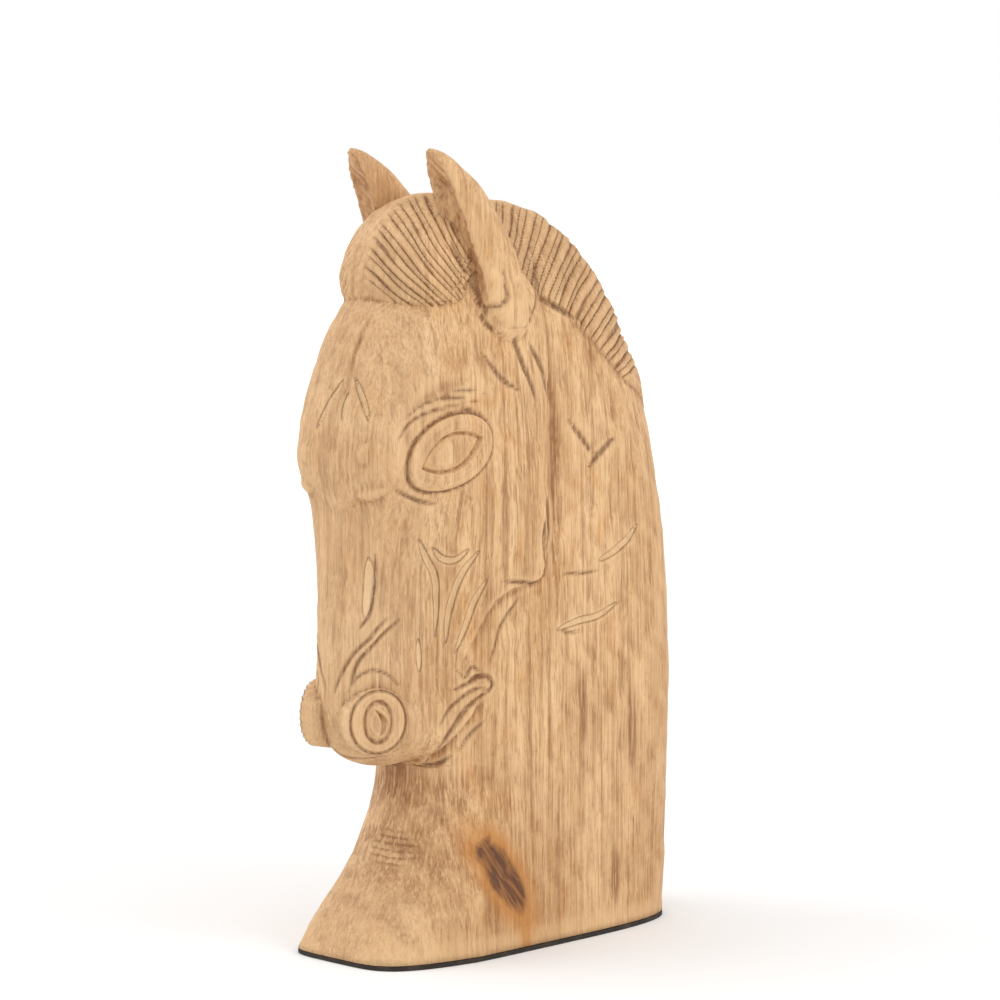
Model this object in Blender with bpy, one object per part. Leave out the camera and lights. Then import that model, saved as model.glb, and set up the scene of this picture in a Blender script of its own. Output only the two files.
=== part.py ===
"""Carved wooden horse head bust on a thin dark base pad.

The head faces -Y, its left side faces +X, and the pad rests on Z = 0.
The bust is one piece of carved wood: a flat-sided neck block, a wedge-shaped
face, two ears, a rolled forelock, a grooved mane band, lidded eyes and round
nostrils. A thin pad of the same outline is stuck under the neck.
"""

import math

import bmesh
import bpy
import numpy as np

# Overall sizes, in metres
BUST_HEIGHT = 0.350
BASE_LENGTH = 0.1825
BASE_WIDTH = 0.077
PAD_THICKNESS = 0.0020
PAD_GAP = 0.0003
PAD_INSET = 0.0003

# Carving sizes, in metres on the full-size bust
MANE_RELIEF = 0.0024
MANE_GROOVE = 0.0016
MANE_LOCKS = 25
FORELOCK_GROOVE = 0.0016
FORELOCK_LOCKS = 16
EAR_HOLLOW = 0.0050
LID_RELIEF = 0.0026
NOSTRIL_RADIUS = 0.0145
NOSTRIL_RELIEF = 0.0028

# The figure is laid out in millimetres on a bust of these sizes and is then
# scaled to the sizes above
FIGURE_HEIGHT = 349.3
FIGURE_LENGTH = 182.5
FIGURE_WIDTH = 77.0
FIGURE_FLOOR = 2.3

# Side outlines as (y, z), toe and heel first
NECK_FRONT = [(-91.5, 2.3), (-89.0, 9.0), (-84.0, 19.0), (-76.5, 33.0), (-69.5, 48.0),
              (-64.5, 63.0), (-61.5, 78.0), (-62.0, 92.0), (-65.0, 112.0), (-69.0, 135.0),
              (-73.0, 165.0), (-75.0, 205.0), (-74.0, 240.0), (-62.0, 280.0), (-30.0, 312.0)]
BACK = [(91.0, 2.3), (93.5, 50.0), (95.0, 98.0), (95.5, 150.0), (94.0, 195.0),
        (89.3, 233.0), (83.7, 248.0), (76.5, 263.0), (66.3, 280.8), (54.2, 297.0),
        (39.3, 310.3), (24.6, 318.4), (8.5, 323.2), (-6.0, 325.2)]
FACE = [(-61.5, 84.6), (-70.0, 84.2), (-80.0, 85.6), (-89.0, 89.5), (-94.5, 97.0), (-98.0, 108.0),
        (-98.8, 122.0), (-97.4, 145.0), (-95.2, 172.0), (-95.0, 196.0), (-98.0, 214.0),
        (-97.0, 230.0), (-92.5, 252.0), (-83.0, 279.0), (-67.0, 300.0), (-46.0, 314.0),
        (-22.0, 323.0)]
JAW = [(-10.0, 314.0), (4.0, 300.0), (12.0, 268.0), (5.0, 235.0), (0.5, 205.0), (1.0, 172.0),
       (-4.0, 158.5), (-17.0, 156.5), (-29.0, 152.0), (-38.0, 136.0), (-42.0, 127.0),
       (-30.5, 121.5), (-36.0, 110.0), (-46.0, 96.5), (-54.0, 86.5)]

# Face stations: height, front edge, half width at the front, spread towards
# the cheek, half width of the cheek, rounding of the front edge
FACE_STATIONS = [(84.0, -72.0, 13.0, 0.33, 30.0, 9.0),
                 (97.0, -94.0, 15.5, 0.31, 33.0, 10.0),
                 (108.0, -98.0, 16.5, 0.28, 34.5, 9.0),
                 (124.0, -98.8, 14.0, 0.30, 35.5, 8.0),
                 (146.0, -97.4, 14.0, 0.34, 37.5, 7.0),
                 (174.0, -94.8, 18.0, 0.32, 38.3, 8.0),
                 (197.0, -95.0, 23.0, 0.25, 38.3, 9.0),
                 (215.0, -98.0, 31.0, 0.13, 37.5, 11.0),
                 (230.0, -97.0, 31.0, 0.12, 36.5, 12.0),
                 (252.0, -92.5, 28.5, 0.15, 35.0, 14.0),
                 (279.0, -83.0, 23.0, 0.22, 32.0, 17.0),
                 (300.0, -66.0, 18.0, 0.28, 28.0, 19.0),
                 (323.0, -40.0, 12.0, 0.30, 24.0, 18.0)]

# Neck stations: height, half width, front rounding length and fullness, back
# rounding length and fullness
NECK_STATIONS = [(2.3, 38.5, 91.5, 5.0, 91.0, 3.9),
                 (14.0, 38.4, 86.0, 4.2, 88.0, 3.9),
                 (32.0, 38.2, 72.0, 3.0, 78.0, 3.6),
                 (60.0, 38.0, 62.0, 2.3, 58.0, 3.2),
                 (98.0, 37.5, 60.0, 2.0, 44.0, 2.9),
                 (135.0, 36.8, 62.0, 2.0, 40.0, 2.6),
                 (170.0, 35.6, 66.0, 2.0, 40.0, 2.4),
                 (210.0, 34.0, 70.0, 2.0, 46.0, 2.1),
                 (250.0, 31.5, 70.0, 2.0, 58.0, 2.0),
                 (285.0, 29.5, 70.0, 2.0, 62.0, 2.0),
                 (327.0, 27.0, 60.0, 2.0, 62.0, 2.0)]

# Soft swellings and hollows of the sides: name, y, z, reach along, reach
# across, tilt in degrees, height
SIDE_FORMS = [("eye socket", -62.0, 219.0, 27.0, 17.0, 18.0, -2.2),
              ("brow", -64.0, 245.0, 26.0, 8.0, 20.0, 1.2),
              ("cheek", -24.0, 186.0, 20.0, 26.0, 0.0, 1.2),
              ("hollow under the eye", -64.0, 172.0, 14.0, 26.0, -12.0, -2.2),
              ("nose wing", -80.0, 128.0, 14.0, 9.0, 30.0, 1.2),
              ("upper lip", -78.0, 101.0, 18.0, 12.0, 0.0, 1.8),
              ("temple", -32.0, 262.0, 12.0, 22.0, 20.0, -1.0)]

# Rows of the main block, in stretches from the neck up: neck, throat, chin, lip,
# nose, brow, forehead and poll. Each starts at a point of the front outline and
# at a height on the back outline.
ROW_COUNTS = [9, 2, 4, 4, 10, 5, 9, 6]
ROW_FRONT = [NECK_FRONT[0], NECK_FRONT[6], FACE[1], FACE[3], FACE[5], FACE[9], FACE[11], FACE[14]]
ROW_BACK = [FIGURE_FLOOR, 82.0, 88.0, 104.0, 122.0, 199.0, 228.0, 292.0]
BLOCK_COLUMNS = 27


def smooth_path(points, per_span):
    """Cubic path through the points with mean-slope tangents at each point."""
    p = np.array(points, float)
    chord = np.linalg.norm(np.diff(p, axis=0), axis=1)
    key = np.concatenate([[0.0], np.cumsum(chord)])
    slope = np.gradient(p, key, axis=0)
    at = np.unique(np.concatenate([np.linspace(a, b, per_span + 1)
                                   for a, b in zip(key[:-1], key[1:])]))
    return hermite(at, key, p, slope)


def hermite(at, key, value, slope):
    """Cubic blend of keyed values: each span joins value and slope at both ends."""
    i = np.clip(np.searchsorted(key, at, side="right") - 1, 0, len(key) - 2)
    h = key[i + 1] - key[i]
    t = (at - key[i]) / h
    shape = (-1,) + (1,) * (value.ndim - 1)
    t = t.reshape(shape)
    h = h.reshape(shape)
    low = (2 * t ** 3 - 3 * t ** 2 + 1) * value[i] + (t ** 3 - 2 * t ** 2 + t) * h * slope[i]
    high = (3 * t ** 2 - 2 * t ** 3) * value[i + 1] + (t ** 3 - t ** 2) * h * slope[i + 1]
    return low + high


def station(table, column, at):
    """One column of a station table, blended smoothly along its first column."""
    key = np.array([row[0] for row in table], float)
    value = np.array([row[column] for row in table], float)
    flat = np.clip(np.asarray(at, float), key[0], key[-1])
    return hermite(flat.ravel(), key, value, np.gradient(value, key)).reshape(flat.shape)


def path_distance(y, z, path):
    """Shortest distance from each (y, z) to a run of straight pieces."""
    best = np.full(y.shape, 1e9)
    for (ay, az), (by, bz) in zip(path[:-1], path[1:]):
        dy, dz = by - ay, bz - az
        t = np.clip(((y - ay) * dy + (z - az) * dz) / (dy * dy + dz * dz), 0.0, 1.0)
        best = np.minimum(best, (y - ay - t * dy) ** 2 + (z - az - t * dz) ** 2)
    return np.sqrt(best)


def inside(y, z, loop):
    """True where (y, z) lies in the closed loop, by counting edge crossings."""
    hit = np.zeros(y.shape, bool)
    for (ay, az), (by, bz) in zip(loop, np.roll(loop, -1, axis=0)):
        spans = (az > z) != (bz > z)
        edge = ay + (z - az) * (by - ay) / np.where(abs(bz - az) < 1e-12, 1e-12, bz - az)
        hit ^= spans & (y < edge)
    return hit


def rounding(share, fullness):
    """Rise from 0 at an edge to 1: a superellipse arc of the given fullness."""
    q = np.clip(1.0 - share, 0.0, 1.0)
    return np.maximum(1.0 - q ** fullness, 0.0) ** (1.0 / fullness)


def soft_min(a, b, reach):
    """Smaller of two values with a rounded change-over of the given reach."""
    return 0.5 * (a + b - np.sqrt((a - b) ** 2 + reach ** 2))


def soft_max(a, b, reach):
    """Larger of two values with a rounded change-over of the given reach."""
    return 0.5 * (a + b + np.sqrt((a - b) ** 2 + reach ** 2)) - 0.5 * reach


NECK_FRONT_PATH = smooth_path(NECK_FRONT, 5)
BACK_PATH = smooth_path(BACK, 5)
FACE_PATH = smooth_path(FACE, 4)
HEAD_LOOP = np.concatenate([FACE_PATH, smooth_path(JAW, 3)])


def neck_half(y, z):
    """Half width of the neck block over the side view."""
    front = np.interp(z, NECK_FRONT_PATH[:, 1], NECK_FRONT_PATH[:, 0])
    d_front = y - front
    back_y = np.interp(z, BACK_PATH[:, 1], BACK_PATH[:, 0])
    within = np.where(z < BACK[-1][1], np.sign(back_y - y), -1.0)
    d_back = path_distance(y, z, BACK_PATH) * within
    rise = rounding(d_front / station(NECK_STATIONS, 2, z), station(NECK_STATIONS, 3, z))
    fall = rounding(d_back / station(NECK_STATIONS, 4, z), station(NECK_STATIONS, 5, z))
    return station(NECK_STATIONS, 1, z) * rise * fall


def head_half(y, z):
    """Half width of the face and cheeks over the side view."""
    run = y - station(FACE_STATIONS, 1, z)
    wedge = station(FACE_STATIONS, 2, z) + station(FACE_STATIONS, 3, z) * np.maximum(run, 0.0)
    width = soft_min(wedge, station(FACE_STATIONS, 4, z), 3.0)
    for name, cy, cz, along, across, tilt, height in SIDE_FORMS:
        c, s = math.cos(math.radians(tilt)), math.sin(math.radians(tilt))
        a = ((y - cy) * c + (z - cz) * s) / along
        b = ((z - cz) * c - (y - cy) * s) / across
        width = width + height * np.exp(-(a * a + b * b) * 1.2)
    back = np.clip((y + 72.0) / 26.0, 0.0, 1.0) * np.clip((262.0 - z) / 30.0, 0.0, 1.0)
    radius = station(FACE_STATIONS, 5, z) * (1.0 - back) + 6.5 * back
    depth = np.where(inside(y, z, HEAD_LOOP), path_distance(y, z, HEAD_LOOP), 0.0)
    return width * rounding(depth / radius, 2.1)


def block_half(y, z):
    """Half width of the whole block: the wider of neck and head."""
    return np.maximum(soft_max(neck_half(y, z), head_half(y, z), 1.2), 0.0)


def toe_skew(y, z):
    """Sideways drift of the toe, which is carved a little off centre."""
    forward = np.clip((-45.0 - y) / 45.0, 0.0, 1.0)
    low = np.clip((62.0 - z) / 60.0, 0.0, 1.0)
    return -6.0 * forward * low * low * (3.0 - 2.0 * low)


def finish_points(points):
    """Figure millimetres to metres at the sizes wanted."""
    scale = np.array([BASE_WIDTH / FIGURE_WIDTH, BASE_LENGTH / FIGURE_LENGTH,
                      BUST_HEIGHT / FIGURE_HEIGHT])
    out = np.array(points, float)
    out[:, 0] += toe_skew(out[:, 1], out[:, 2])
    out *= scale
    floor = PAD_THICKNESS + PAD_GAP
    drawn = FIGURE_FLOOR * scale[2]
    out[:, 2] = floor + (out[:, 2] - drawn) * (BUST_HEIGHT - floor) / (BUST_HEIGHT - drawn)
    return out


def closed_mesh(name, points, faces):
    """Mesh object from points and faces, faces turned outward."""
    mesh = bpy.data.meshes.new(name)
    mesh.from_pydata([tuple(p) for p in finish_points(points)], [], faces)
    bm = bmesh.new()
    bm.from_mesh(mesh)
    bmesh.ops.recalc_face_normals(bm, faces=bm.faces)
    bm.to_mesh(mesh)
    bm.free()
    obj = bpy.data.objects.new(name, mesh)
    bpy.context.scene.collection.objects.link(obj)
    return obj


def loft(name, rings):
    """Closed skin over equal rings, with a fan at each end."""
    rings = np.asarray(rings)
    count, around = rings.shape[:2]
    points = [p for ring in rings for p in ring]
    points.append(rings[0].mean(axis=0))
    points.append(rings[-1].mean(axis=0))
    faces = []
    for i in range(count - 1):
        for j in range(around):
            k = (j + 1) % around
            faces.append((i * around + j, i * around + k, (i + 1) * around + k, (i + 1) * around + j))
    for j in range(around):
        k = (j + 1) % around
        faces.append((len(points) - 2, k, j))
        faces.append((len(points) - 1, (count - 1) * around + j, (count - 1) * around + k))
    return closed_mesh(name, points, faces)


def nearest_point(path, spot):
    """Index of the path point nearest a spot."""
    gap = np.linalg.norm(path - np.array(spot), axis=1)
    return int(np.argmin(gap))


def run_between(path, first, last, count):
    """Evenly spaced points on a path between two of its own points."""
    piece = path[first:last + 1]
    length = np.concatenate([[0.0], np.cumsum(np.linalg.norm(np.diff(piece, axis=0), axis=1))])
    at = np.linspace(0.0, length[-1], count + 1)
    return np.stack([np.interp(at, length, piece[:, 0]), np.interp(at, length, piece[:, 1])], 1)


def block_rows():
    """Front and back ends of every row of the main block."""
    throat = nearest_point(NECK_FRONT_PATH, ROW_FRONT[1])
    outline = np.concatenate([NECK_FRONT_PATH[:throat + 1], FACE_PATH])
    front_at = [nearest_point(outline, spot) for spot in ROW_FRONT] + [len(outline) - 1]
    back_at = [int(np.argmin(abs(BACK_PATH[:, 1] - z))) for z in ROW_BACK] + [len(BACK_PATH) - 1]
    fronts, backs = [], []
    for i, count in enumerate(ROW_COUNTS):
        fronts.append(run_between(outline, front_at[i], front_at[i + 1], count)[:-1])
        backs.append(run_between(BACK_PATH, back_at[i], back_at[i + 1], count)[:-1])
    fronts.append(outline[-1:])
    backs.append(BACK_PATH[-1:])
    return np.concatenate(fronts), np.concatenate(backs)


def build_block():
    """Neck, face and cheeks as rows running from the front to the back outline."""
    front, back = block_rows()
    rows, cols = len(front), BLOCK_COLUMNS
    turn = np.linspace(0.0, math.pi, cols + 1)
    share = 0.35 * turn / math.pi + 0.65 * 0.5 * (1.0 - np.cos(turn))
    y = front[:, None, 0] + (back - front)[:, None, 0] * share
    z = front[:, None, 1] + (back - front)[:, None, 1] * share
    x = block_half(y, z)
    x[:, 1:-1] = np.maximum(x[:, 1:-1], 0.8)
    x[:, 0] = 0.0
    x[:, -1] = 0.0
    x[-1, :] = 0.0
    left = np.stack([x, y, z], 2)
    right = left * np.array([-1.0, 1.0, 1.0])
    points = list(left.reshape(-1, 3))
    base = len(points)
    mirror = {}
    for i in range(rows - 1):
        for j in range(1, cols):
            mirror[(i, j)] = len(points)
            points.append(right[i, j])
    near = lambda i, j: i * (cols + 1) + j
    far = lambda i, j: mirror.get((i, j), near(i, j))
    faces = []
    for i in range(rows - 1):
        for j in range(cols):
            faces.append((near(i, j), near(i, j + 1), near(i + 1, j + 1), near(i + 1, j)))
            faces.append((far(i, j), far(i + 1, j), far(i + 1, j + 1), far(i, j + 1)))
    for j in range(cols):
        floor = [near(0, j), far(0, j), far(0, j + 1), near(0, j + 1)]
        faces.append(tuple(dict.fromkeys(floor)))
    return closed_mesh("horse_head", points, faces)


# Ear stations: height, centre x, centre y, half width, half depth
EAR_STATIONS = [(264.0, 24.0, -20.0, 7.0, 9.0),
                (270.0, 26.0, -20.5, 9.0, 13.5),
                (279.0, 26.5, -22.5, 9.8, 17.0),
                (292.0, 26.0, -26.5, 9.6, 18.5),
                (308.0, 25.0, -32.5, 9.2, 18.2),
                (324.0, 24.3, -40.6, 8.8, 16.2),
                (333.0, 24.2, -46.4, 8.0, 13.4),
                (340.0, 24.1, -52.0, 6.6, 10.0),
                (345.5, 24.0, -57.0, 4.4, 6.2),
                (348.4, 24.0, -60.2, 2.4, 3.2),
                (349.3, 24.0, -61.4, 1.0, 1.2)]
EAR_RINGS = 13
EAR_AROUND = 18
# Heights where the hollow starts, is whole, thins out and ends
EAR_HOLLOW_FROM = 276.0
EAR_HOLLOW_WHOLE = 296.0
EAR_HOLLOW_THIN = 334.0
EAR_HOLLOW_TO = 346.5
# Middle of the hollow, in degrees outward of the front, and its half spread
EAR_HOLLOW_TURN = 5.0
EAR_HOLLOW_SPREAD = 44.0
EAR_SIDE_CHANGE = 0.05


def build_ear(side):
    """One ear: upright oval rings leaning forward, hollowed along the front."""
    root, tip = EAR_STATIONS[0][0], EAR_STATIONS[-1][0]
    height = root + (tip - root) * np.sin(np.linspace(0.0, 1.0, EAR_RINGS) * math.pi / 2) ** 0.9
    turn = np.linspace(0.0, 2 * math.pi, EAR_AROUND, endpoint=False)
    off = (np.degrees(turn) - EAR_HOLLOW_TURN + 180.0) % 360.0 - 180.0
    cut = np.clip(1.0 - (off / EAR_HOLLOW_SPREAD) ** 2, 0.0, 1.0) ** 0.8
    rings = []
    for z in height:
        cx, cy, half, deep = [float(station(EAR_STATIONS, k, z)) for k in (1, 2, 3, 4)]
        deep *= 1.0 - EAR_SIDE_CHANGE * side
        starts = np.clip((z - EAR_HOLLOW_FROM) / (EAR_HOLLOW_WHOLE - EAR_HOLLOW_FROM), 0.0, 1.0)
        ends = np.clip((EAR_HOLLOW_TO - z) / (EAR_HOLLOW_TO - EAR_HOLLOW_THIN), 0.0, 1.0)
        x = cx + half * np.sin(turn)
        y = cy - (deep - EAR_HOLLOW * 1000.0 * starts * ends * cut) * np.cos(turn)
        rings.append(np.stack([side * x, y, np.full(len(turn), z)], 1))
    return loft("ear", rings)


FORELOCK_POLE = (-49.0, 289.0)
FORELOCK_HALF = 28.5
# Reach of the rolled forelock from its pole line: angle from the front
# upward in degrees, reach
FORELOCK_REACH = [(-70.0, 17.0), (-48.0, 21.0), (-32.0, 25.5), (-15.0, 29.0), (0.0, 31.0),
                  (15.0, 32.3), (32.0, 33.4), (52.0, 35.5), (72.0, 38.0), (92.0, 40.5),
                  (112.0, 44.0), (132.0, 51.0), (150.0, 52.0)]
# The flutes run out towards the front of the roll between these two angles
FORELOCK_FADE = (-30.0, 45.0)
FORELOCK_STEPS = 2
FORELOCK_ACROSS = 11


def build_forelock():
    """Forelock roll: fluted meridians between two poles beside the ears."""
    flutes = np.linspace(-34.0, 142.0, FORELOCK_LOCKS * FORELOCK_STEPS + 1)
    hidden = np.linspace(142.0, 326.0, 8)[1:-1]
    angle = np.concatenate([flutes, hidden])
    reach = station(FORELOCK_REACH, 1, angle)
    reach[len(flutes):] = 16.0
    phase = np.concatenate([np.arange(len(flutes)) / FORELOCK_STEPS, np.zeros(len(hidden))])
    fade = np.clip((angle - FORELOCK_FADE[0]) / (FORELOCK_FADE[1] - FORELOCK_FADE[0]), 0.15, 1.0)
    cut = np.abs(np.cos(math.pi * phase)) ** 1.5 * fade
    cut[len(flutes):] = 0.0
    across = np.linspace(-1.0, 1.0, FORELOCK_ACROSS + 1)[1:-1]
    rings = []
    for w in across:
        fill = math.cos(w * math.pi / 2) ** 0.75
        r = reach * fill - cut * FORELOCK_GROOVE * 1000.0 * min(1.0, 1.6 * fill)
        a = np.radians(angle)
        x = np.full(len(a), FORELOCK_HALF * math.sin(w * math.pi / 2))
        rings.append(np.stack([x, FORELOCK_POLE[0] - r * np.cos(a), FORELOCK_POLE[1] + r * np.sin(a)], 1))
    return loft("forelock", rings)


# Depth of the mane band below the crest: share of its run, depth
MANE_DEPTH = [(0.0, 40.0), (0.2, 41.0), (0.42, 39.0), (0.6, 33.0), (0.78, 24.0), (0.92, 12.0),
              (1.0, 5.0)]
MANE_STEPS = 2
MANE_ACROSS = 10


def build_mane():
    """Mane: a raised band over the crest with a groove between every two locks."""
    crest = smooth_path([p for p in BACK if p[1] > 225.0][::-1], 12)
    length = np.concatenate([[0.0], np.cumsum(np.linalg.norm(np.diff(crest, axis=0), axis=1))])
    share = np.linspace(0.0, 1.0, MANE_LOCKS * MANE_STEPS + 1)
    at = share * length[-1]
    y0 = np.interp(at, length, crest[:, 0])
    z0 = np.interp(at, length, crest[:, 1])
    ty, tz = np.gradient(y0), np.gradient(z0)
    size = np.hypot(ty, tz)
    ny, nz = tz / size, -ty / size
    across = np.linspace(-1.0, 1.0, MANE_ACROSS + 1)
    deep = station(MANE_DEPTH, 1, share)[:, None] * np.abs(across) ** 1.25
    y = y0[:, None] + ny[:, None] * deep
    z = z0[:, None] + nz[:, None] * deep
    x = neck_half(y, z) * np.sign(across)
    x[:, MANE_ACROSS // 2] = 0.0
    skin = np.stack([x, y, z], 2)
    du = np.gradient(skin, axis=0)
    dv = np.gradient(skin, axis=1)
    normal = np.cross(du, dv)
    normal /= np.linalg.norm(normal, axis=2, keepdims=True)
    middle = normal[:, MANE_ACROSS // 2]
    outward = np.sign((middle[:, 1] * -ny + middle[:, 2] * -nz).mean())
    normal *= outward
    phase = np.arange(len(share)) / MANE_STEPS
    cut = np.abs(np.cos(math.pi * phase)) ** 2.0
    edge = np.clip((1.0 - np.abs(across)) * 7.0, 0.0, 1.0)
    notch = np.clip(np.abs(across) * 5.0, 0.35, 1.0)
    lift = (MANE_RELIEF * 1000.0 * (0.35 + 0.65 * edge)
            - MANE_GROOVE * 1000.0 * cut[:, None] * edge * notch)
    end = np.clip((1.0 - share) * 9.0, 0.25, 1.0)[:, None]
    outer = skin + normal * (lift * end)[:, :, None]
    inner = skin * np.array([0.8, 1.0, 1.0])
    sink = np.minimum(4.0, 0.5 * station(MANE_DEPTH, 1, share))
    inner[:, :, 1] += (sink * ny)[:, None]
    inner[:, :, 2] += (sink * nz)[:, None]
    return loft("mane", np.concatenate([outer, inner[:, ::-2]], axis=1))


EYE_CENTRE = (-60.5, 220.0)
EYE_TILT = 18.0
EYE_LONG = 24.0
EYE_HIGH = 15.5
# Section of the lidded eye from its middle to its rim: share, height
EYE_SECTION = [(0.0, 2.4), (0.3, 2.1), (0.5, 1.0), (0.58, 0.7), (0.66, 2.6), (0.86, 2.4),
               (0.97, 0.4), (1.05, -1.6)]
EYE_AROUND = 22


def build_eye(side):
    """Almond eye: a domed ball in a raised lid ring, following the side of the head."""
    turn = np.linspace(0.0, 2 * math.pi, EYE_AROUND, endpoint=False)
    c, s = math.cos(math.radians(EYE_TILT)), math.sin(math.radians(EYE_TILT))
    rings = []
    scale = LID_RELIEF * 1000.0 / 2.6
    for share, height in EYE_SECTION[1:]:
        pinch = 1.0 - 0.22 * (1.0 - share * 0.7) * np.abs(np.cos(turn)) ** 2
        a = EYE_LONG * share * np.cos(turn)
        b = EYE_HIGH * share * np.sin(turn) * pinch * (0.62 + 0.38 * share)
        y = EYE_CENTRE[0] + a * c - b * s
        z = EYE_CENTRE[1] + a * s + b * c
        x = block_half(y, z) + height * scale
        rings.append(np.stack([side * x, y, z], 1))
    last = rings[-1].copy()
    last[:, 0] -= side * 5.0
    rings.append(last)
    return loft("eye", rings)


NOSTRIL_CENTRE = (19.8, -89.2, 107.4)
NOSTRIL_FACING = 70.0
# Section of the nostril disc from its middle to its rim: share, height
NOSTRIL_SECTION = [(0.16, 0.1), (0.3, 1.5), (0.62, 1.1), (0.70, 0.5), (0.78, 1.6), (0.92, 1.2),
                   (1.0, -0.6), (1.0, -9.0)]
NOSTRIL_AROUND = 20


def build_nostril(side):
    """Nostril: a raised round disc with a pit, a swelling and a rim ring."""
    turn = np.linspace(0.0, 2 * math.pi, NOSTRIL_AROUND, endpoint=False)
    f = math.radians(NOSTRIL_FACING)
    out = np.array([math.sin(f), -math.cos(f), 0.0])
    along = np.array([math.cos(f), math.sin(f), 0.0])
    radius = NOSTRIL_RADIUS * 1000.0
    scale = NOSTRIL_RELIEF * 1000.0 / 2.8
    rings = []
    for share, height in NOSTRIL_SECTION:
        a = radius * 0.95 * share * np.cos(turn)
        b = radius * share * np.sin(turn)
        ring = (np.array(NOSTRIL_CENTRE) + a[:, None] * along + b[:, None] * np.array([0.0, 0.0, 1.0])
                + out * (height * scale - 0.6))
        ring[:, 0] *= side
        rings.append(ring)
    return loft("nostril", rings)


def principled(name, colour, rough):
    """Plain Principled material of one colour."""
    material = bpy.data.materials.new(name)
    material.use_nodes = True
    node = material.node_tree.nodes["Principled BSDF"]
    node.inputs["Base Color"].default_value = colour + (1.0,)
    node.inputs["Roughness"].default_value = rough
    material.diffuse_color = colour + (1.0,)
    return material


def unite(target, others):
    """Boolean union of the other closed solids into the target."""
    for other in others:
        other.hide_render = True
        other.display_type = "WIRE"
        modifier = target.modifiers.new("join " + other.name, "BOOLEAN")
        modifier.operation = "UNION"
        modifier.solver = "EXACT"
        modifier.object = other
    bpy.context.view_layer.update()
    graph = bpy.context.evaluated_depsgraph_get()
    joined = bpy.data.meshes.new_from_object(target.evaluated_get(graph))
    target.modifiers.clear()
    spare = target.data
    target.data = joined
    joined.name = target.name
    bpy.data.meshes.remove(spare)
    for other in others:
        mesh = other.data
        bpy.data.objects.remove(other, do_unlink=True)
        bpy.data.meshes.remove(mesh)


def build_pad():
    """Thin pad under the neck, with the outline of the neck's underside."""
    foot, half, front, front_fullness, back, back_fullness = NECK_STATIONS[0]
    turn = np.linspace(0.0, 2 * math.pi, 64, endpoint=False)
    ahead = np.cos(turn) < 0.0
    length = np.where(ahead, front, back)
    fullness = np.where(ahead, front_fullness, back_fullness)
    y = length * np.sign(np.cos(turn)) * np.abs(np.cos(turn)) ** (2.0 / fullness)
    x = half * np.sign(np.sin(turn)) * np.abs(np.sin(turn)) ** (2.0 / fullness)
    x = x + toe_skew(y, np.full(len(y), foot))
    x *= BASE_WIDTH / FIGURE_WIDTH - PAD_INSET / half
    y *= BASE_LENGTH / FIGURE_LENGTH - PAD_INSET / front
    bm = bmesh.new()
    low = [bm.verts.new((a, b, 0.0)) for a, b in zip(x, y)]
    high = [bm.verts.new((a, b, PAD_THICKNESS)) for a, b in zip(x, y)]
    bm.faces.new(low[::-1])
    bm.faces.new(high)
    for i in range(len(low)):
        k = (i + 1) % len(low)
        bm.faces.new((low[i], low[k], high[k], high[i]))
    bmesh.ops.recalc_face_normals(bm, faces=bm.faces)
    mesh = bpy.data.meshes.new("base_pad")
    bm.to_mesh(mesh)
    bm.free()
    obj = bpy.data.objects.new("base_pad", mesh)
    bpy.context.scene.collection.objects.link(obj)
    return obj


for stale in list(bpy.data.objects):
    bpy.data.objects.remove(stale, do_unlink=True)

head = build_block()
unite(head, [build_mane()])
unite(head, [build_forelock()])
unite(head, [build_ear(1.0), build_ear(-1.0)])
unite(head, [build_eye(1.0), build_eye(-1.0), build_nostril(1.0), build_nostril(-1.0)])
tidy = bmesh.new()
tidy.from_mesh(head.data)
bmesh.ops.remove_doubles(tidy, verts=tidy.verts, dist=0.00002)
bmesh.ops.dissolve_degenerate(tidy, edges=tidy.edges, dist=0.00001)
bmesh.ops.triangulate(tidy, faces=tidy.faces)
tidy.to_mesh(head.data)
tidy.free()
head.data.materials.clear()
head.data.materials.append(principled("carved wood", (0.60, 0.42, 0.25), 0.6))
for face in head.data.polygons:
    face.use_smooth = True

pad = build_pad()
pad.data.materials.append(principled("dark pad", (0.03, 0.025, 0.02), 0.85))
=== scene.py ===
import math

import bmesh
import bpy
import numpy as np
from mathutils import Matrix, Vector


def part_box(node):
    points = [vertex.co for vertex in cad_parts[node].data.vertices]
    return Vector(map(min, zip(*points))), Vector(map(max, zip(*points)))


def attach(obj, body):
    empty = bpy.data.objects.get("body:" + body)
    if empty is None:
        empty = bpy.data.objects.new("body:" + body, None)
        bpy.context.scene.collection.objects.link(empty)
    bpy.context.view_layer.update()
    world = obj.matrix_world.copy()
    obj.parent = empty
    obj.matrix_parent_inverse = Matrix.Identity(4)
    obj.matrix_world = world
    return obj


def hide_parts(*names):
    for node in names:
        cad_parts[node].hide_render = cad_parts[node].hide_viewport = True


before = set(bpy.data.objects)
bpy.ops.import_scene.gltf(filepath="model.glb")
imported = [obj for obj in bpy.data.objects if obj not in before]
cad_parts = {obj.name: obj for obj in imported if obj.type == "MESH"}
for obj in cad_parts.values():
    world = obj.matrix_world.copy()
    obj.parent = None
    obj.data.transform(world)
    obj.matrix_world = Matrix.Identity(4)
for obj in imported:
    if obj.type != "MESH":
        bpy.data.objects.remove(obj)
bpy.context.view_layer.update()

# The camera
# The bust is seen from its front left quarter through a long lens, from the height
# of its ears and a little downward, and stands left of the middle of the picture.
VIEW_POINT = (1.12446, -1.14433, 0.350)
VIEW_LINE = (-0.69608, 0.71147, -0.09632)
LENS = 131.0
FILM = 36.0

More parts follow.
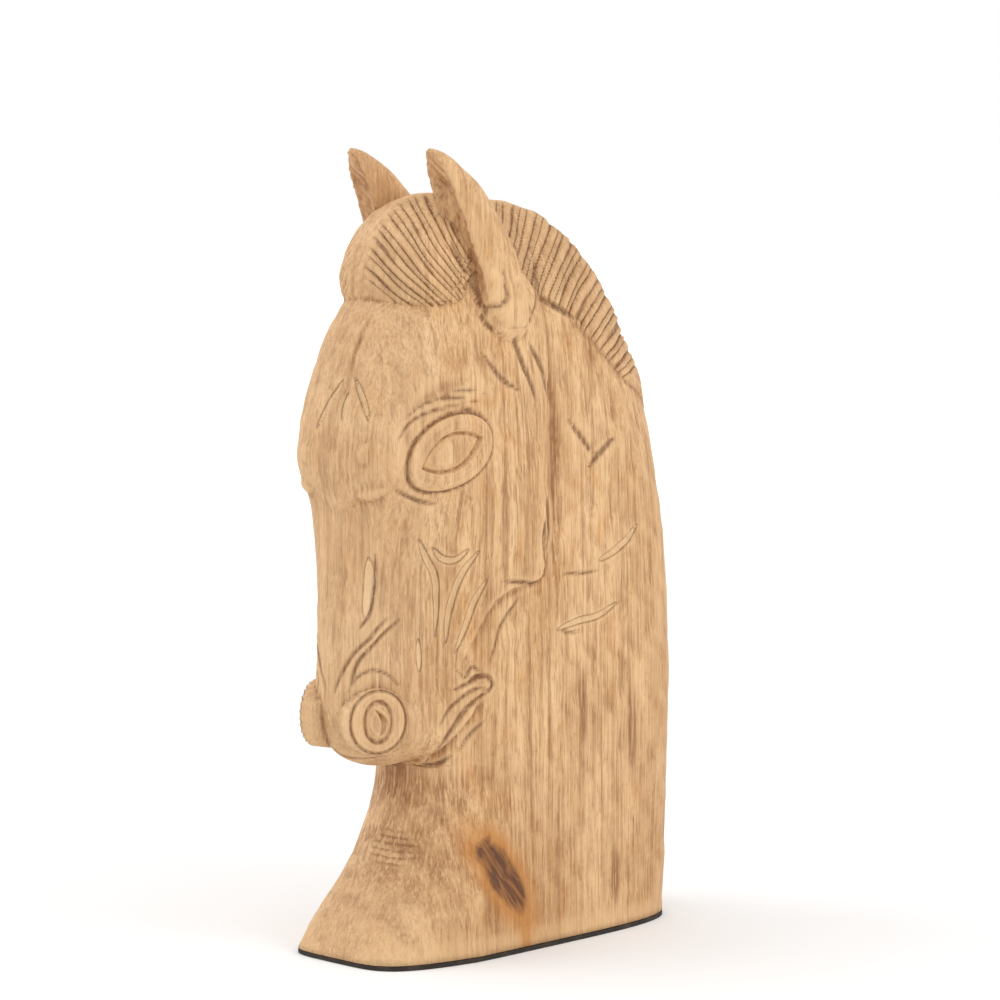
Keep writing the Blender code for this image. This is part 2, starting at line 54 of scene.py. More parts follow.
camera_data = bpy.data.cameras.new("camera")
camera_data.lens = LENS
camera_data.sensor_width = FILM
camera_data.clip_end = 30.0
camera = bpy.data.objects.new("camera", camera_data)
camera.location = VIEW_POINT
camera.rotation_euler = Vector(VIEW_LINE).to_track_quat("-Z", "Y").to_euler()
bpy.context.scene.collection.objects.link(camera)
bpy.context.scene.camera = camera
bpy.context.scene.view_settings.view_transform = "Standard"


# The neck, the cheeks and the face
# One block of pale wood, sawn to its side view and pared on both sides to a flat
# neck, full cheeks and a face that narrows to the muzzle.

# Sizes here and in the sections below are millimetres on the carver's drawing. The
# horse looks along -y, its left side is at +x, and z is up.
DRAWN_TOP = 349.3
DRAWN_FLOOR = 2.3
NECK_FRONT = [(-91.5, 2.3), (-89.0, 9.0), (-84.0, 19.0), (-76.5, 33.0), (-69.5, 48.0),
              (-64.5, 63.0), (-61.5, 78.0), (-62.0, 92.0), (-65.0, 112.0), (-69.0, 135.0),
              (-73.0, 165.0), (-75.0, 205.0), (-74.0, 240.0), (-62.0, 280.0), (-30.0, 312.0)]
BACK = [(91.0, 2.3), (93.5, 50.0), (95.0, 98.0), (95.5, 150.0), (94.0, 195.0),
        (89.3, 233.0), (83.7, 248.0), (76.5, 263.0), (66.3, 280.8), (54.2, 297.0),
        (39.3, 310.3), (24.6, 318.4), (8.5, 323.2), (-6.0, 325.2)]
FACE = [(-61.5, 84.6), (-70.0, 84.2), (-80.0, 85.6), (-89.0, 89.5), (-94.5, 97.0), (-98.0, 108.0),
        (-98.8, 122.0), (-97.4, 145.0), (-95.2, 172.0), (-95.0, 196.0), (-98.0, 214.0),
        (-97.0, 230.0), (-92.5, 252.0), (-83.0, 279.0), (-67.0, 300.0), (-46.0, 314.0),
        (-22.0, 323.0)]
JAW = [(-10.0, 314.0), (4.0, 300.0), (12.0, 268.0), (5.0, 235.0), (0.5, 205.0), (1.0, 172.0),
       (-4.0, 158.5), (-17.0, 156.5), (-29.0, 152.0), (-38.0, 136.0), (-42.0, 127.0),
       (-30.5, 121.5), (-36.0, 110.0), (-46.0, 96.5), (-54.0, 86.5)]
# Height, front edge, half width at the front, spread towards the cheek, half
# width of the cheek, rounding of the front edge
FACE_STATIONS = [(84.0, -72.0, 13.0, 0.33, 30.0, 9.0),
                 (97.0, -94.0, 15.5, 0.31, 33.0, 10.0),
                 (108.0, -98.0, 16.5, 0.28, 34.5, 9.0),
                 (124.0, -98.8, 14.0, 0.30, 35.5, 8.0),
                 (146.0, -97.4, 14.0, 0.34, 37.5, 7.0),
                 (174.0, -94.8, 18.0, 0.32, 38.3, 8.0),
                 (197.0, -95.0, 23.0, 0.25, 38.3, 9.0),
                 (215.0, -98.0, 31.0, 0.13, 37.5, 11.0),
                 (230.0, -97.0, 31.0, 0.12, 36.5, 12.0),
                 (252.0, -92.5, 28.5, 0.15, 35.0, 14.0),
                 (279.0, -83.0, 23.0, 0.22, 32.0, 17.0),
                 (300.0, -66.0, 18.0, 0.28, 28.0, 19.0),
                 (323.0, -40.0, 12.0, 0.30, 24.0, 18.0)]
# Height, half width, front rounding and its fullness, back rounding and its fullness
NECK_STATIONS = [(2.3, 38.5, 91.5, 5.0, 91.0, 3.9),
                 (14.0, 38.4, 86.0, 4.2, 88.0, 3.9),
                 (32.0, 38.2, 72.0, 3.0, 78.0, 3.6),
                 (60.0, 38.0, 62.0, 2.3, 58.0, 3.2),
                 (98.0, 37.5, 60.0, 2.0, 44.0, 2.9),
                 (135.0, 36.8, 62.0, 2.0, 40.0, 2.6),
                 (170.0, 35.6, 66.0, 2.0, 40.0, 2.4),
                 (210.0, 34.0, 70.0, 2.0, 46.0, 2.1),
                 (250.0, 31.5, 70.0, 2.0, 58.0, 2.0),
                 (285.0, 29.5, 70.0, 2.0, 62.0, 2.0),
                 (327.0, 27.0, 60.0, 2.0, 62.0, 2.0)]
# Swellings and hollows of the sides: y, z, reach along, reach across, tilt, height
SIDE_FORMS = {"eye socket": (-62.0, 219.0, 27.0, 17.0, 18.0, -2.2),
              "brow": (-64.0, 245.0, 26.0, 8.0, 20.0, 1.2),
              "cheek": (-24.0, 186.0, 20.0, 26.0, 0.0, 1.2),
              "hollow under the eye": (-64.0, 172.0, 14.0, 26.0, -12.0, -2.2),
              "nose wing": (-80.0, 128.0, 14.0, 9.0, 30.0, 1.2),
              "upper lip": (-78.0, 101.0, 18.0, 12.0, 0.0, 1.8),
              "temple": (-32.0, 262.0, 12.0, 22.0, 20.0, -1.0)}
# Rows of the skin in stretches: neck, throat, chin, lip, nose, brow, forehead, poll
ROW_COUNTS = [24, 3, 12, 16, 80, 32, 46, 18]
ROW_FRONT = [NECK_FRONT[0], NECK_FRONT[6], FACE[1], FACE[3], FACE[5], FACE[9], FACE[11], FACE[14]]
ROW_BACK = [DRAWN_FLOOR, 82.0, 88.0, 104.0, 122.0, 199.0, 228.0, 292.0]
COLUMNS = 160
TRIAL_COLUMNS = 401
# The skin's columns stand this much wider apart on the neck than on the face
FACE_END, NECK_START, NECK_SPREAD = 4.0, 18.0, 2.4
# The jaw has its own rounding: y where it starts and is whole, z where it has faded
# out and is whole
JAW_ROUNDING = 6.5
JAW_STARTS, JAW_WHOLE = -72.0, -46.0
JAW_GONE, JAW_WHOLE_BELOW = 262.0, 232.0
HEAD_FULLNESS = 2.1
# How softly the face's wedge runs into the cheek, and the head into the neck
WEDGE_BLEND, HEAD_BLEND = 3.0, 1.2
THINNEST = 0.4


def span_blend(at, key, value, slope):
    """Cubic blend of keyed values: each span joins value and slope at both ends."""
    i = np.clip(np.searchsorted(key, at, side="right") - 1, 0, len(key) - 2)
    h = (key[i + 1] - key[i]).reshape((-1,) + (1,) * (value.ndim - 1))
    t = (at - key[i]).reshape(h.shape) / h
    low = (2 * t ** 3 - 3 * t ** 2 + 1) * value[i] + (t ** 3 - 2 * t ** 2 + t) * h * slope[i]
    high = (3 * t ** 2 - 2 * t ** 3) * value[i + 1] + (t ** 3 - t ** 2) * h * slope[i + 1]
    return low + high


def smooth_line(points, per_span):
    """Cubic line through the points, keyed by chord length with mean slopes."""
    p = np.array(points, float)
    key = np.concatenate([[0.0], np.cumsum(np.linalg.norm(np.diff(p, axis=0), axis=1))])
    steps = np.linspace(0.0, 1.0, per_span, endpoint=False)
    at = np.append((key[:-1, None] + np.diff(key)[:, None] * steps).ravel(), key[-1])
    return span_blend(at, key, p, np.gradient(p, key, axis=0))


def station(table, column, at):
    """One column of a station table, blended smoothly along its first column."""
    key = np.array([row[0] for row in table], float)
    value = np.array([row[column] for row in table], float)
    flat = np.clip(np.asarray(at, float), key[0], key[-1])
    return span_blend(flat.ravel(), key, value, np.gradient(value, key)).reshape(flat.shape)


def line_distance(y, z, line):
    """Shortest distance from each (y, z) to a run of straight pieces."""
    best = np.full(y.shape, 1e9)
    for (ay, az), (by, bz) in zip(line[:-1], line[1:]):
        dy, dz = by - ay, bz - az
        t = np.clip(((y - ay) * dy + (z - az) * dz) / (dy * dy + dz * dz), 0.0, 1.0)
        best = np.minimum(best, (y - ay - t * dy) ** 2 + (z - az - t * dz) ** 2)
    return np.sqrt(best)


def inside(y, z, loop):
    """True where (y, z) lies in the closed loop, by counting edge crossings."""
    hit = np.zeros(y.shape, bool)
    for (ay, az), (by, bz) in zip(loop, np.roll(loop, -1, axis=0)):
        rise = by - ay if abs(bz - az) < 1e-12 else (by - ay) / (bz - az)
        hit ^= ((az > z) != (bz > z)) & (y < ay + (z - az) * rise)
    return hit


def edge_rounding(share, fullness):
    """Rise from 0 at an edge to 1: a superellipse arc of the given fullness."""
    q = np.clip(1.0 - share, 0.0, 1.0)
    return np.maximum(1.0 - q ** fullness, 0.0) ** (1.0 / fullness)


NECK_FRONT_LINE = smooth_line(NECK_FRONT, 5)
BACK_LINE = smooth_line(BACK, 5)
FACE_LINE = smooth_line(FACE, 4)
HEAD_LOOP = np.concatenate([FACE_LINE, smooth_line(JAW, 3)])


def neck_half(y, z):
    """Half width of the neck: its station width times a rounding at front and back."""
    ahead = y - np.interp(z, NECK_FRONT_LINE[:, 1], NECK_FRONT_LINE[:, 0])
    back_y = np.interp(z, BACK_LINE[:, 1], BACK_LINE[:, 0])
    within = np.where(z < BACK[-1][1], np.sign(back_y - y), -1.0)
    behind = line_distance(y, z, BACK_LINE) * within
    rise = edge_rounding(ahead / station(NECK_STATIONS, 2, z), station(NECK_STATIONS, 3, z))
    fall = edge_rounding(behind / station(NECK_STATIONS, 4, z), station(NECK_STATIONS, 5, z))
    return station(NECK_STATIONS, 1, z) * rise * fall


def head_half(y, z):
    """Half width of the head: a wedge that opens backward up to the cheek's width,
    plus each side form's height x exp(-1.2 (a^2 + b^2)), a and b being shares of its
    reach, times a rounding by the depth inside the head's outline."""
    run = y - station(FACE_STATIONS, 1, z)
    wedge = station(FACE_STATIONS, 2, z) + station(FACE_STATIONS, 3, z) * np.maximum(run, 0.0)
    cheek = station(FACE_STATIONS, 4, z)
    width = 0.5 * (wedge + cheek - np.sqrt((wedge - cheek) ** 2 + WEDGE_BLEND ** 2))
    for cy, cz, along, across, tilt, height in SIDE_FORMS.values():
        c, s = math.cos(math.radians(tilt)), math.sin(math.radians(tilt))
        a = ((y - cy) * c + (z - cz) * s) / along
        b = ((z - cz) * c - (y - cy) * s) / across
        width = width + height * np.exp(-(a * a + b * b) * 1.2)
    back = np.clip((y - JAW_STARTS) / (JAW_WHOLE - JAW_STARTS), 0.0, 1.0)
    back = back * np.clip((JAW_GONE - z) / (JAW_GONE - JAW_WHOLE_BELOW), 0.0, 1.0)
    radius = station(FACE_STATIONS, 5, z) * (1.0 - back) + JAW_ROUNDING * back
    depth = np.where(inside(y, z, HEAD_LOOP), line_distance(y, z, HEAD_LOOP), 0.0)
    return width * edge_rounding(depth / radius, HEAD_FULLNESS)


def block_half(y, z):
    """Half width of the block: the wider of neck and head, with a soft change-over,
    (neck + head + root of ((neck - head)^2 + blend^2) - blend) / 2."""
    neck, head = neck_half(y, z), head_half(y, z)
    wider = 0.5 * (neck + head + np.sqrt((neck - head) ** 2 + HEAD_BLEND ** 2))
    return np.maximum(wider - 0.5 * HEAD_BLEND, 0.0)


def run_between(line, first, last, count):
    """Evenly spaced points on a line between two of its own points."""
    piece = line[first:last + 1]
    length = np.concatenate([[0.0], np.cumsum(np.linalg.norm(np.diff(piece, axis=0), axis=1))])
    at = np.linspace(0.0, length[-1], count + 1)
    return np.stack([np.interp(at, length, piece[:, 0]), np.interp(at, length, piece[:, 1])], 1)


def block_rows():
    """Front and back end of every row of the skin."""
    def near(line, spot):
        return int(np.argmin(np.linalg.norm(line - np.array(spot), axis=1)))
    outline = np.concatenate([NECK_FRONT_LINE[:near(NECK_FRONT_LINE, ROW_FRONT[1]) + 1], FACE_LINE])
    front_at = [near(outline, spot) for spot in ROW_FRONT] + [len(outline) - 1]
    back_at = [int(np.argmin(abs(BACK_LINE[:, 1] - z))) for z in ROW_BACK] + [len(BACK_LINE) - 1]
    fronts = [run_between(outline, a, b, n)[:-1]
              for a, b, n in zip(front_at[:-1], front_at[1:], ROW_COUNTS)]
    backs = [run_between(BACK_LINE, a, b, n)[:-1]
             for a, b, n in zip(back_at[:-1], back_at[1:], ROW_COUNTS)]
    return np.concatenate(fronts + [outline[-1:]]), np.concatenate(backs + [BACK_LINE[-1:]])


def block_skin():
    """Left half of the block as rows from the front outline to the back outline, x
    being the half width. Columns are even along the skin and wider on the neck."""
    front, back = block_rows()

    def skin_at(share):
        y = front[:, None, 0] + (back - front)[:, None, 0] * share
        z = front[:, None, 1] + (back - front)[:, None, 1] * share
        x = block_half(y, z)
        x[:, [0, -1]] = 0.0
        x[-1, :] = 0.0
        return np.stack([x, y, z], 2)

    fine = 0.5 * (1.0 - np.cos(np.linspace(0.0, math.pi, TRIAL_COLUMNS)))
    trial = skin_at(np.broadcast_to(fine, (len(front), TRIAL_COLUMNS)))
    step = np.linalg.norm(np.diff(trial, axis=1), axis=2)
    step /= np.interp(trial[:, 1:, 1], (FACE_END, NECK_START), (1.0, NECK_SPREAD))
    run = np.concatenate([np.zeros((len(front), 1)), np.cumsum(step, axis=1)], axis=1)
    even = np.linspace(0.0, 1.0, COLUMNS + 1)
    share = np.stack([np.interp(even * r[-1], r, fine) for r in run])
    skin = skin_at(share)
    skin[:-1, 1:-1, 0] = np.maximum(skin[:-1, 1:-1, 0], THINNEST)
    return skin


def solid_from(name, points, faces):
    """Closed mesh object from points and faces, its faces turned outward."""
    mesh = bpy.data.meshes.new(name)
    mesh.from_pydata(np.asarray(points).tolist(), [], faces)
    bm = bmesh.new()
    bm.from_mesh(mesh)
    bmesh.ops.recalc_face_normals(bm, faces=bm.faces)
    bm.to_mesh(mesh)
    bm.free()
    solid = bpy.data.objects.new(name, mesh)
    bpy.context.scene.collection.objects.link(solid)
    return solid


def carve_block():
    """The block: the left skin, its mirror image and a flat underside."""
    skin = block_skin()
    rows, columns = skin.shape[:2]
    left = np.arange(rows * columns).reshape(rows, columns)
    right = left.copy()
    right[:-1, 1:-1] = left.size + np.arange((rows - 1) * (columns - 2)).reshape(rows - 1, -1)
    mirrored = skin[:-1, 1:-1] * np.array([-1.0, 1.0, 1.0])
    points = np.concatenate([skin.reshape(-1, 3), mirrored.reshape(-1, 3)])
    near = np.stack([left[:-1, :-1], left[:-1, 1:], left[1:, 1:], left[1:, :-1]], 2)
    far = np.stack([right[:-1, :-1], right[1:, :-1], right[1:, 1:], right[:-1, 1:]], 2)
    under = np.stack([left[0, 1:-2], right[0, 1:-2], right[0, 2:-1], left[0, 2:-1]], 1)
    ends = [(left[0, 0], right[0, 1], left[0, 1]), (left[0, -1], left[0, -2], right[0, -2])]
    quads = np.concatenate([near.reshape(-1, 4), far.reshape(-1, 4), under]).tolist()
    return solid_from("block", points, quads + ends)


block = carve_block()


# The mane
# A band of the same wood left standing proud along the crest. It is cut across into
# locks with a V tool, which is done below once all the forms are one.

# Points of the crest, and share of the way along it with the band's depth there
MANE_CREST = [(-20.0, 325.4)] + [p for p in BACK if p[1] > 225.0][::-1]
MANE_DEPTH = [(0.0, 38.0), (0.2, 41.0), (0.42, 39.0), (0.6, 33.0), (0.78, 24.0), (0.92, 12.0),
              (1.0, 5.0)]
MANE_ALONG = 182
MANE_ACROSS = 52
MANE_PROUD = 2.4
MANE_LEAN = 0.30
MANE_SUNK = 4.0


def closed_loft(name, rings):
    """Closed skin over equal rings, with a fan of triangles at each end."""
    count, around = rings.shape[:2]
    index = np.arange(count * around).reshape(count, around)
    turned = np.roll(index, -1, axis=1)
    quads = np.stack([index[:-1], turned[:-1], turned[1:], index[1:]], 2).reshape(-1, 4)
    first, last = count * around, count * around + 1
    fans = [(first, int(k), int(j)) for j, k in zip(index[0], turned[0])]
    fans += [(last, int(j), int(k)) for j, k in zip(index[-1], turned[-1])]
    ends = np.stack([rings[0].mean(axis=0), rings[-1].mean(axis=0)])
    return solid_from(name, np.concatenate([rings.reshape(-1, 3), ends]), quads.tolist() + fans)


def carve_mane():
    """The band: the neck's own skin below the crest, lifted along its normal. Each
    row runs down from the crest by depth times (inward normal + lean x tangent)."""
    crest = smooth_line(MANE_CREST, 12)
    length = np.concatenate([[0.0], np.cumsum(np.linalg.norm(np.diff(crest, axis=0), axis=1))])
    share = np.linspace(0.0, 1.0, MANE_ALONG)
    y0 = np.interp(share * length[-1], length, crest[:, 0])
    z0 = np.interp(share * length[-1], length, crest[:, 1])
    size = np.hypot(np.gradient(y0), np.gradient(z0))
    ty, tz = np.gradient(y0) / size, np.gradient(z0) / size
    ny, nz = tz, -ty
    across = np.linspace(-1.0, 1.0, MANE_ACROSS + 1)
    deep = station(MANE_DEPTH, 1, share)[:, None] * np.abs(across) ** 1.25
    lean = MANE_LEAN * np.clip((1.0 - share) * 6.0, 0.0, 1.0)
    y = y0[:, None] + (ny + lean * ty)[:, None] * deep
    z = z0[:, None] + (nz + lean * tz)[:, None] * deep
    x = neck_half(y, z) * np.sign(across)
    x[:, MANE_ACROSS // 2] = 0.0
    skin = np.stack([x, y, z], 2)
    normal = np.cross(np.gradient(skin, axis=0), np.gradient(skin, axis=1))
    normal /= np.linalg.norm(normal, axis=2, keepdims=True)
    middle = normal[:, MANE_ACROSS // 2]
    normal *= np.sign((middle[:, 1] * -ny + middle[:, 2] * -nz).mean())
    edge = np.clip((1.0 - np.abs(across)) * 9.0, 0.0, 1.0)
    lift = MANE_PROUD * (0.3 + 0.7 * edge)
    outer = skin + normal * (lift * np.clip((1.0 - share) * 9.0, 0.25, 1.0)[:, None])[:, :, None]
    inner = skin * np.array([0.8, 1.0, 1.0])
    sink = np.minimum(MANE_SUNK, 0.5 * station(MANE_DEPTH, 1, share))
    inner[:, :, 1] += (sink * ny)[:, None]
    inner[:, :, 2] += (sink * nz)[:, None]
    return closed_loft("mane", np.concatenate([outer, inner[:, ::-4]], axis=1))


mane = carve_mane()


# The forelock
# A thick roll of hair between the ears, left rough where it rolls over the
# forehead. Its V cuts are made below with the mane's.
FORELOCK_POLE = (-49.0, 289.0)
FORELOCK_HALF = 28.5
# Reach from the pole line by angle from the front upward, in degrees
FORELOCK_REACH = [(-70.0, 17.0), (-48.0, 21.0), (-32.0, 25.5), (-15.0, 29.0), (0.0, 31.0),
                  (15.0, 32.3), (32.0, 33.4), (52.0, 35.5), (72.0, 38.0), (92.0, 40.5),
                  (112.0, 44.0), (132.0, 51.0), (150.0, 52.0)]
FORELOCK_ALONG = 106
FORELOCK_ACROSS = 76
FORELOCK_FROM, FORELOCK_TO = -34.0, 142.0
# The side that lies inside the head is plain
FORELOCK_HIDDEN_REACH, FORELOCK_HIDDEN_ROWS = 16.0, 12


def carve_forelock():
    """The roll: meridians between a pole on each side. With w from -1 to 1 across,
    x = half x sin(w pi / 2) and the radius is the reach x cos(w pi / 2)^0.75."""
    shown = np.linspace(FORELOCK_FROM, FORELOCK_TO, FORELOCK_ALONG)
    hidden = np.linspace(FORELOCK_TO, FORELOCK_FROM + 360.0, FORELOCK_HIDDEN_ROWS + 2)[1:-1]
    angle = np.concatenate([shown, hidden])
    reach = station(FORELOCK_REACH, 1, angle)
    reach[len(shown):] = FORELOCK_HIDDEN_REACH
    w = np.linspace(-1.0, 1.0, FORELOCK_ACROSS + 1)[1:-1, None]
    r = reach * np.cos(w * math.pi / 2) ** 0.75
    x = np.broadcast_to(FORELOCK_HALF * np.sin(w * math.pi / 2), r.shape)
    y = FORELOCK_POLE[0] - r * np.cos(np.radians(angle))
    z = FORELOCK_POLE[1] + r * np.sin(np.radians(angle))
    return closed_loft("forelock", np.stack([x, y, z], 2))


forelock = carve_forelock()


# The ears
# Two upright, pointed ears that lean forward, hollowed with a gouge along the
# front and running down into a rounded root on the side of the head.

# Height, centre x, centre y, half width, half depth
EAR_STATIONS = [(264.0, 24.0, -20.0, 7.0, 9.0),
                (270.0, 26.0, -20.5, 9.0, 13.5),
                (279.0, 26.5, -22.5, 9.8, 17.0),
                (292.0, 26.0, -26.5, 9.6, 18.5),
                (308.0, 25.0, -32.5, 9.2, 18.2),
                (324.0, 24.3, -40.6, 8.8, 16.2),
                (333.0, 24.2, -46.4, 8.0, 13.4),
                (340.0, 24.1, -52.0, 6.6, 10.0),
                (345.5, 24.0, -57.0, 4.4, 6.2),
                (348.4, 24.0, -60.2, 2.4, 3.2),
                (349.3, 24.0, -61.4, 1.0, 1.2)]
EAR_RINGS = 64
EAR_AROUND = 56
EAR_HOLLOW = 7.2
# Heights where the hollow starts, is whole, thins out and ends
EAR_HOLLOW_SPAN = (276.0, 296.0, 334.0, 347.0)
EAR_HOLLOW_TURN = 5.0
EAR_HOLLOW_SPREAD = 42.0
EAR_SIDE_CHANGE = 0.05


def carve_ear(side):
    """One ear: oval rings up a leaning line, the oval pressed in at the front by
    (1 - (turn / spread)^2)^0.6 of the hollow's depth."""
    root, tip = EAR_STATIONS[0][0], EAR_STATIONS[-1][0]
    z = (root + (tip - root) * np.sin(np.linspace(0.0, 1.0, EAR_RINGS) * math.pi / 2) ** 0.9)[:, None]
    turn = np.linspace(0.0, 2 * math.pi, EAR_AROUND, endpoint=False)
    off = (np.degrees(turn) - EAR_HOLLOW_TURN + 180.0) % 360.0 - 180.0
    cut = np.clip(1.0 - (off / EAR_HOLLOW_SPREAD) ** 2, 0.0, 1.0) ** 0.6
    cx, cy, half, deep = [station(EAR_STATIONS, k, z) for k in (1, 2, 3, 4)]
    starts, whole, thins, ends = EAR_HOLLOW_SPAN
    there = np.clip((z - starts) / (whole - starts), 0.0, 1.0)
    there = there * np.clip((ends - z) / (ends - thins), 0.0, 1.0)
    x = side * (cx + half * np.sin(turn))
    y = cy - (deep * (1.0 - EAR_SIDE_CHANGE * side) - EAR_HOLLOW * there * cut) * np.cos(turn)
    return closed_loft("ear", np.stack([x, y, np.broadcast_to(z, x.shape)], 2))


ears = [carve_ear(side) for side in (1.0, -1.0)]


# The eyes
# A pointed almond ball inside a broad smooth lid, each set off by a cut line, the
# whole tipped up towards the back and following the side of the head.
EYE_CENTRE = (-59.0, 220.8)
EYE_TILT = 19.0
BALL_LONG, BALL_HIGH = 17.0, 7.3
LID_LONG, LID_HIGH = 24.4, 15.6
# Share of the way out, height: the ball ends at 1, the lid at 2
EYE_SECTION = [(0.0, 2.2), (0.35, 2.1), (0.7, 1.5), (0.9, 0.7), (0.98, 0.1), (1.04, 0.2),
               (1.12, 1.9), (1.25, 2.4), (1.5, 2.5), (1.75, 2.1), (1.9, 1.3), (2.0, 0.2),
               (2.08, -1.4)]
BALL_RINGS, LID_RINGS = 24, 21
EYE_AROUND = 120
EYE_SUNK = 5.0


def carve_eye(side):
    """One eye: rings from a pointed lens, z = b sin t |sin t|^0.9, out to an oval,
    z = b sin t, standing on the head's skin by the height of the section."""
    ball, outer = np.linspace(0.04, 1.2, BALL_RINGS), np.linspace(1.2, 2.08, LID_RINGS)[1:]
    share = np.concatenate([ball, outer])[:, None]
    turn = np.linspace(0.0, 2 * math.pi, EYE_AROUND, endpoint=False)
    lid = np.clip(share - 1.0, 0.0, None)
    long = BALL_LONG * np.minimum(share, 1.0) + (LID_LONG - BALL_LONG) * lid
    high = BALL_HIGH * np.minimum(share, 1.0) + (LID_HIGH - BALL_HIGH) * lid
    point = 0.9 * np.clip(1.0 - lid * 1.1, 0.0, 1.0)
    a = long * np.cos(turn)
    b = high * np.sin(turn) * np.abs(np.sin(turn) + 1e-9) ** point
    c, s = math.cos(math.radians(EYE_TILT)), math.sin(math.radians(EYE_TILT))
    y = EYE_CENTRE[0] + a * c - b * s
    z = EYE_CENTRE[1] + a * s + b * c
    x = block_half(y, z) + station(EYE_SECTION, 1, share)
    rings = np.stack([side * x, y, z], 2)
    sunk = rings[-1:] - np.array([side * EYE_SUNK, 0.0, 0.0])
    return closed_loft("eye", np.concatenate([rings, sunk]))


eyes = [carve_eye(side) for side in (1.0, -1.0)]


# The nostrils
# Round discs on the corners of the muzzle, each a flat ring round a raised oval
# with a drop-shaped slit cut into it.
NOSTRIL_CENTRE = (19.8, -89.2, 107.4)
NOSTRIL_FACING = 70.0
NOSTRIL_RADIUS = 14.5
# Share of the radius, height
NOSTRIL_SECTION = [(0.0, 1.9), (0.2, 1.8), (0.38, 1.5), (0.46, 1.0), (0.52, 0.7), (0.66, 1.2),
                   (0.84, 1.2), (0.95, 0.7), (1.0, -0.6), (1.02, -9.0)]
SLIT_TOP, SLIT_FOOT = (-1.5, 5.5), (1.0, -6.0)
SLIT_BELLY, SLIT_CUT = 3.0, 2.2
NOSTRIL_RINGS = 30
NOSTRIL_AROUND = 72


def carve_nostril(side):
    """One nostril: rings of a round disc lifted by the section, less a half moon slit
    that is SLIT_CUT x (1 - (distance off its bowed line / its half width)^2) deep."""
    share = np.append(np.linspace(0.03, 1.0, NOSTRIL_RINGS), 1.02)[:, None]
    turn = np.linspace(0.0, 2 * math.pi, NOSTRIL_AROUND, endpoint=False)
    oval = 1.0 - 0.28 * np.clip((0.62 - share) / 0.2, 0.0, 1.0)
    a = NOSTRIL_RADIUS * 0.96 * share * np.cos(turn) * oval
    b = NOSTRIL_RADIUS * share * np.sin(turn)
    run = np.clip((b - SLIT_FOOT[1]) / (SLIT_TOP[1] - SLIT_FOOT[1]), 0.0, 1.0)
    bow = SLIT_FOOT[0] + (SLIT_TOP[0] - SLIT_FOOT[0]) * run + SLIT_BELLY * np.sin(math.pi * run)
    reach = 0.6 + 1.2 * np.sin(math.pi * run)
    slit = np.clip(1.0 - ((a - bow) / reach) ** 2, 0.0, 1.0) * np.sin(math.pi * run) ** 0.5
    lift = station(NOSTRIL_SECTION, 1, share) - SLIT_CUT * slit - 0.6
    f = math.radians(NOSTRIL_FACING)
    out, along = np.array([math.sin(f), -math.cos(f), 0.0]), np.array([math.cos(f), math.sin(f), 0.0])
    up = np.array([0.0, 0.0, 1.0])
    rings = (np.array(NOSTRIL_CENTRE) + a[..., None] * along + b[..., None] * up
             + lift[..., None] * out)
    return closed_loft("nostril", rings * np.array([side, 1.0, 1.0]))


nostrils = [carve_nostril(side) for side in (1.0, -1.0)]


# One carving
# All of it is one piece of wood, so the forms are united into one closed skin. It
# remembers which form each face came from, for the finish.
FORM_NUMBERS = {"block": 0, "mane": 1, "forelock": 2, "ear": 3, "eye": 4, "nostril": 5}


def number_form(solid, name):
    """Write the form's number on every face."""
    numbers = np.full(len(solid.data.polygons), FORM_NUMBERS[name], np.int32)
    solid.data.attributes.new("form", "INT", "FACE").data.foreach_set("value", numbers)


def unite(target, solid):
    """Boolean union of a solid into the target, after which the solid is gone."""
    modifier = target.modifiers.new("join", "BOOLEAN")
    modifier.operation = "UNION"
    modifier.solver = "EXACT"
    modifier.object = solid
    bpy.context.view_layer.update()
    graph = bpy.context.evaluated_depsgraph_get()
    joined = bpy.data.meshes.new_from_object(target.evaluated_get(graph))
    target.modifiers.clear()
    spent, added = target.data, solid.data
    target.data = joined
    bpy.data.objects.remove(solid, do_unlink=True)
    bpy.data.meshes.remove(spent)
    bpy.data.meshes.remove(added)


for solid, name in [(block, "block"), (mane, "mane"), (forelock, "forelock")]:
    number_form(solid, name)
for side in (0, 1):
    number_form(ears[side], "ear")
    number_form(eyes[side], "eye")
    number_form(nostrils[side], "nostril")
carving = block
for solid in [mane, forelock] + ears + eyes + nostrils:
    unite(carving, solid)
carving.name = "carved_horse_head"
carving.data.name = "carved_horse_head"

mesh = carving.data
skin = np.zeros(len(mesh.vertices) * 3, np.float32)
mesh.vertices.foreach_get("co", skin)
skin = skin.reshape(-1, 3).astype(float)
facing = np.zeros(len(mesh.vertices) * 3, np.float32)
mesh.vertex_normals.foreach_get("vector", facing)
facing = facing.reshape(-1, 3).astype(float)
edges = np.zeros(len(mesh.edges) * 2, np.int32)
mesh.edges.foreach_get("vertices", edges)
edges = edges.reshape(-1, 2)
corner_point = np.zeros(len(mesh.loops), np.int32)
mesh.loops.foreach_get("vertex_index", corner_point)
corners = np.zeros(len(mesh.polygons), np.int32)
mesh.polygons.foreach_get("loop_total", corners)
face_form = np.zeros(len(mesh.polygons), np.int32)
mesh.attributes["form"].data.foreach_get("value", face_form)
corner_form = np.repeat(face_form, corners)


def on_form(name):
    """Share of each point's faces that came from the named form."""
    hits = np.bincount(corner_point, corner_form == FORM_NUMBERS[name], len(skin))
    return hits / np.maximum(np.bincount(corner_point, minlength=len(skin)), 1)


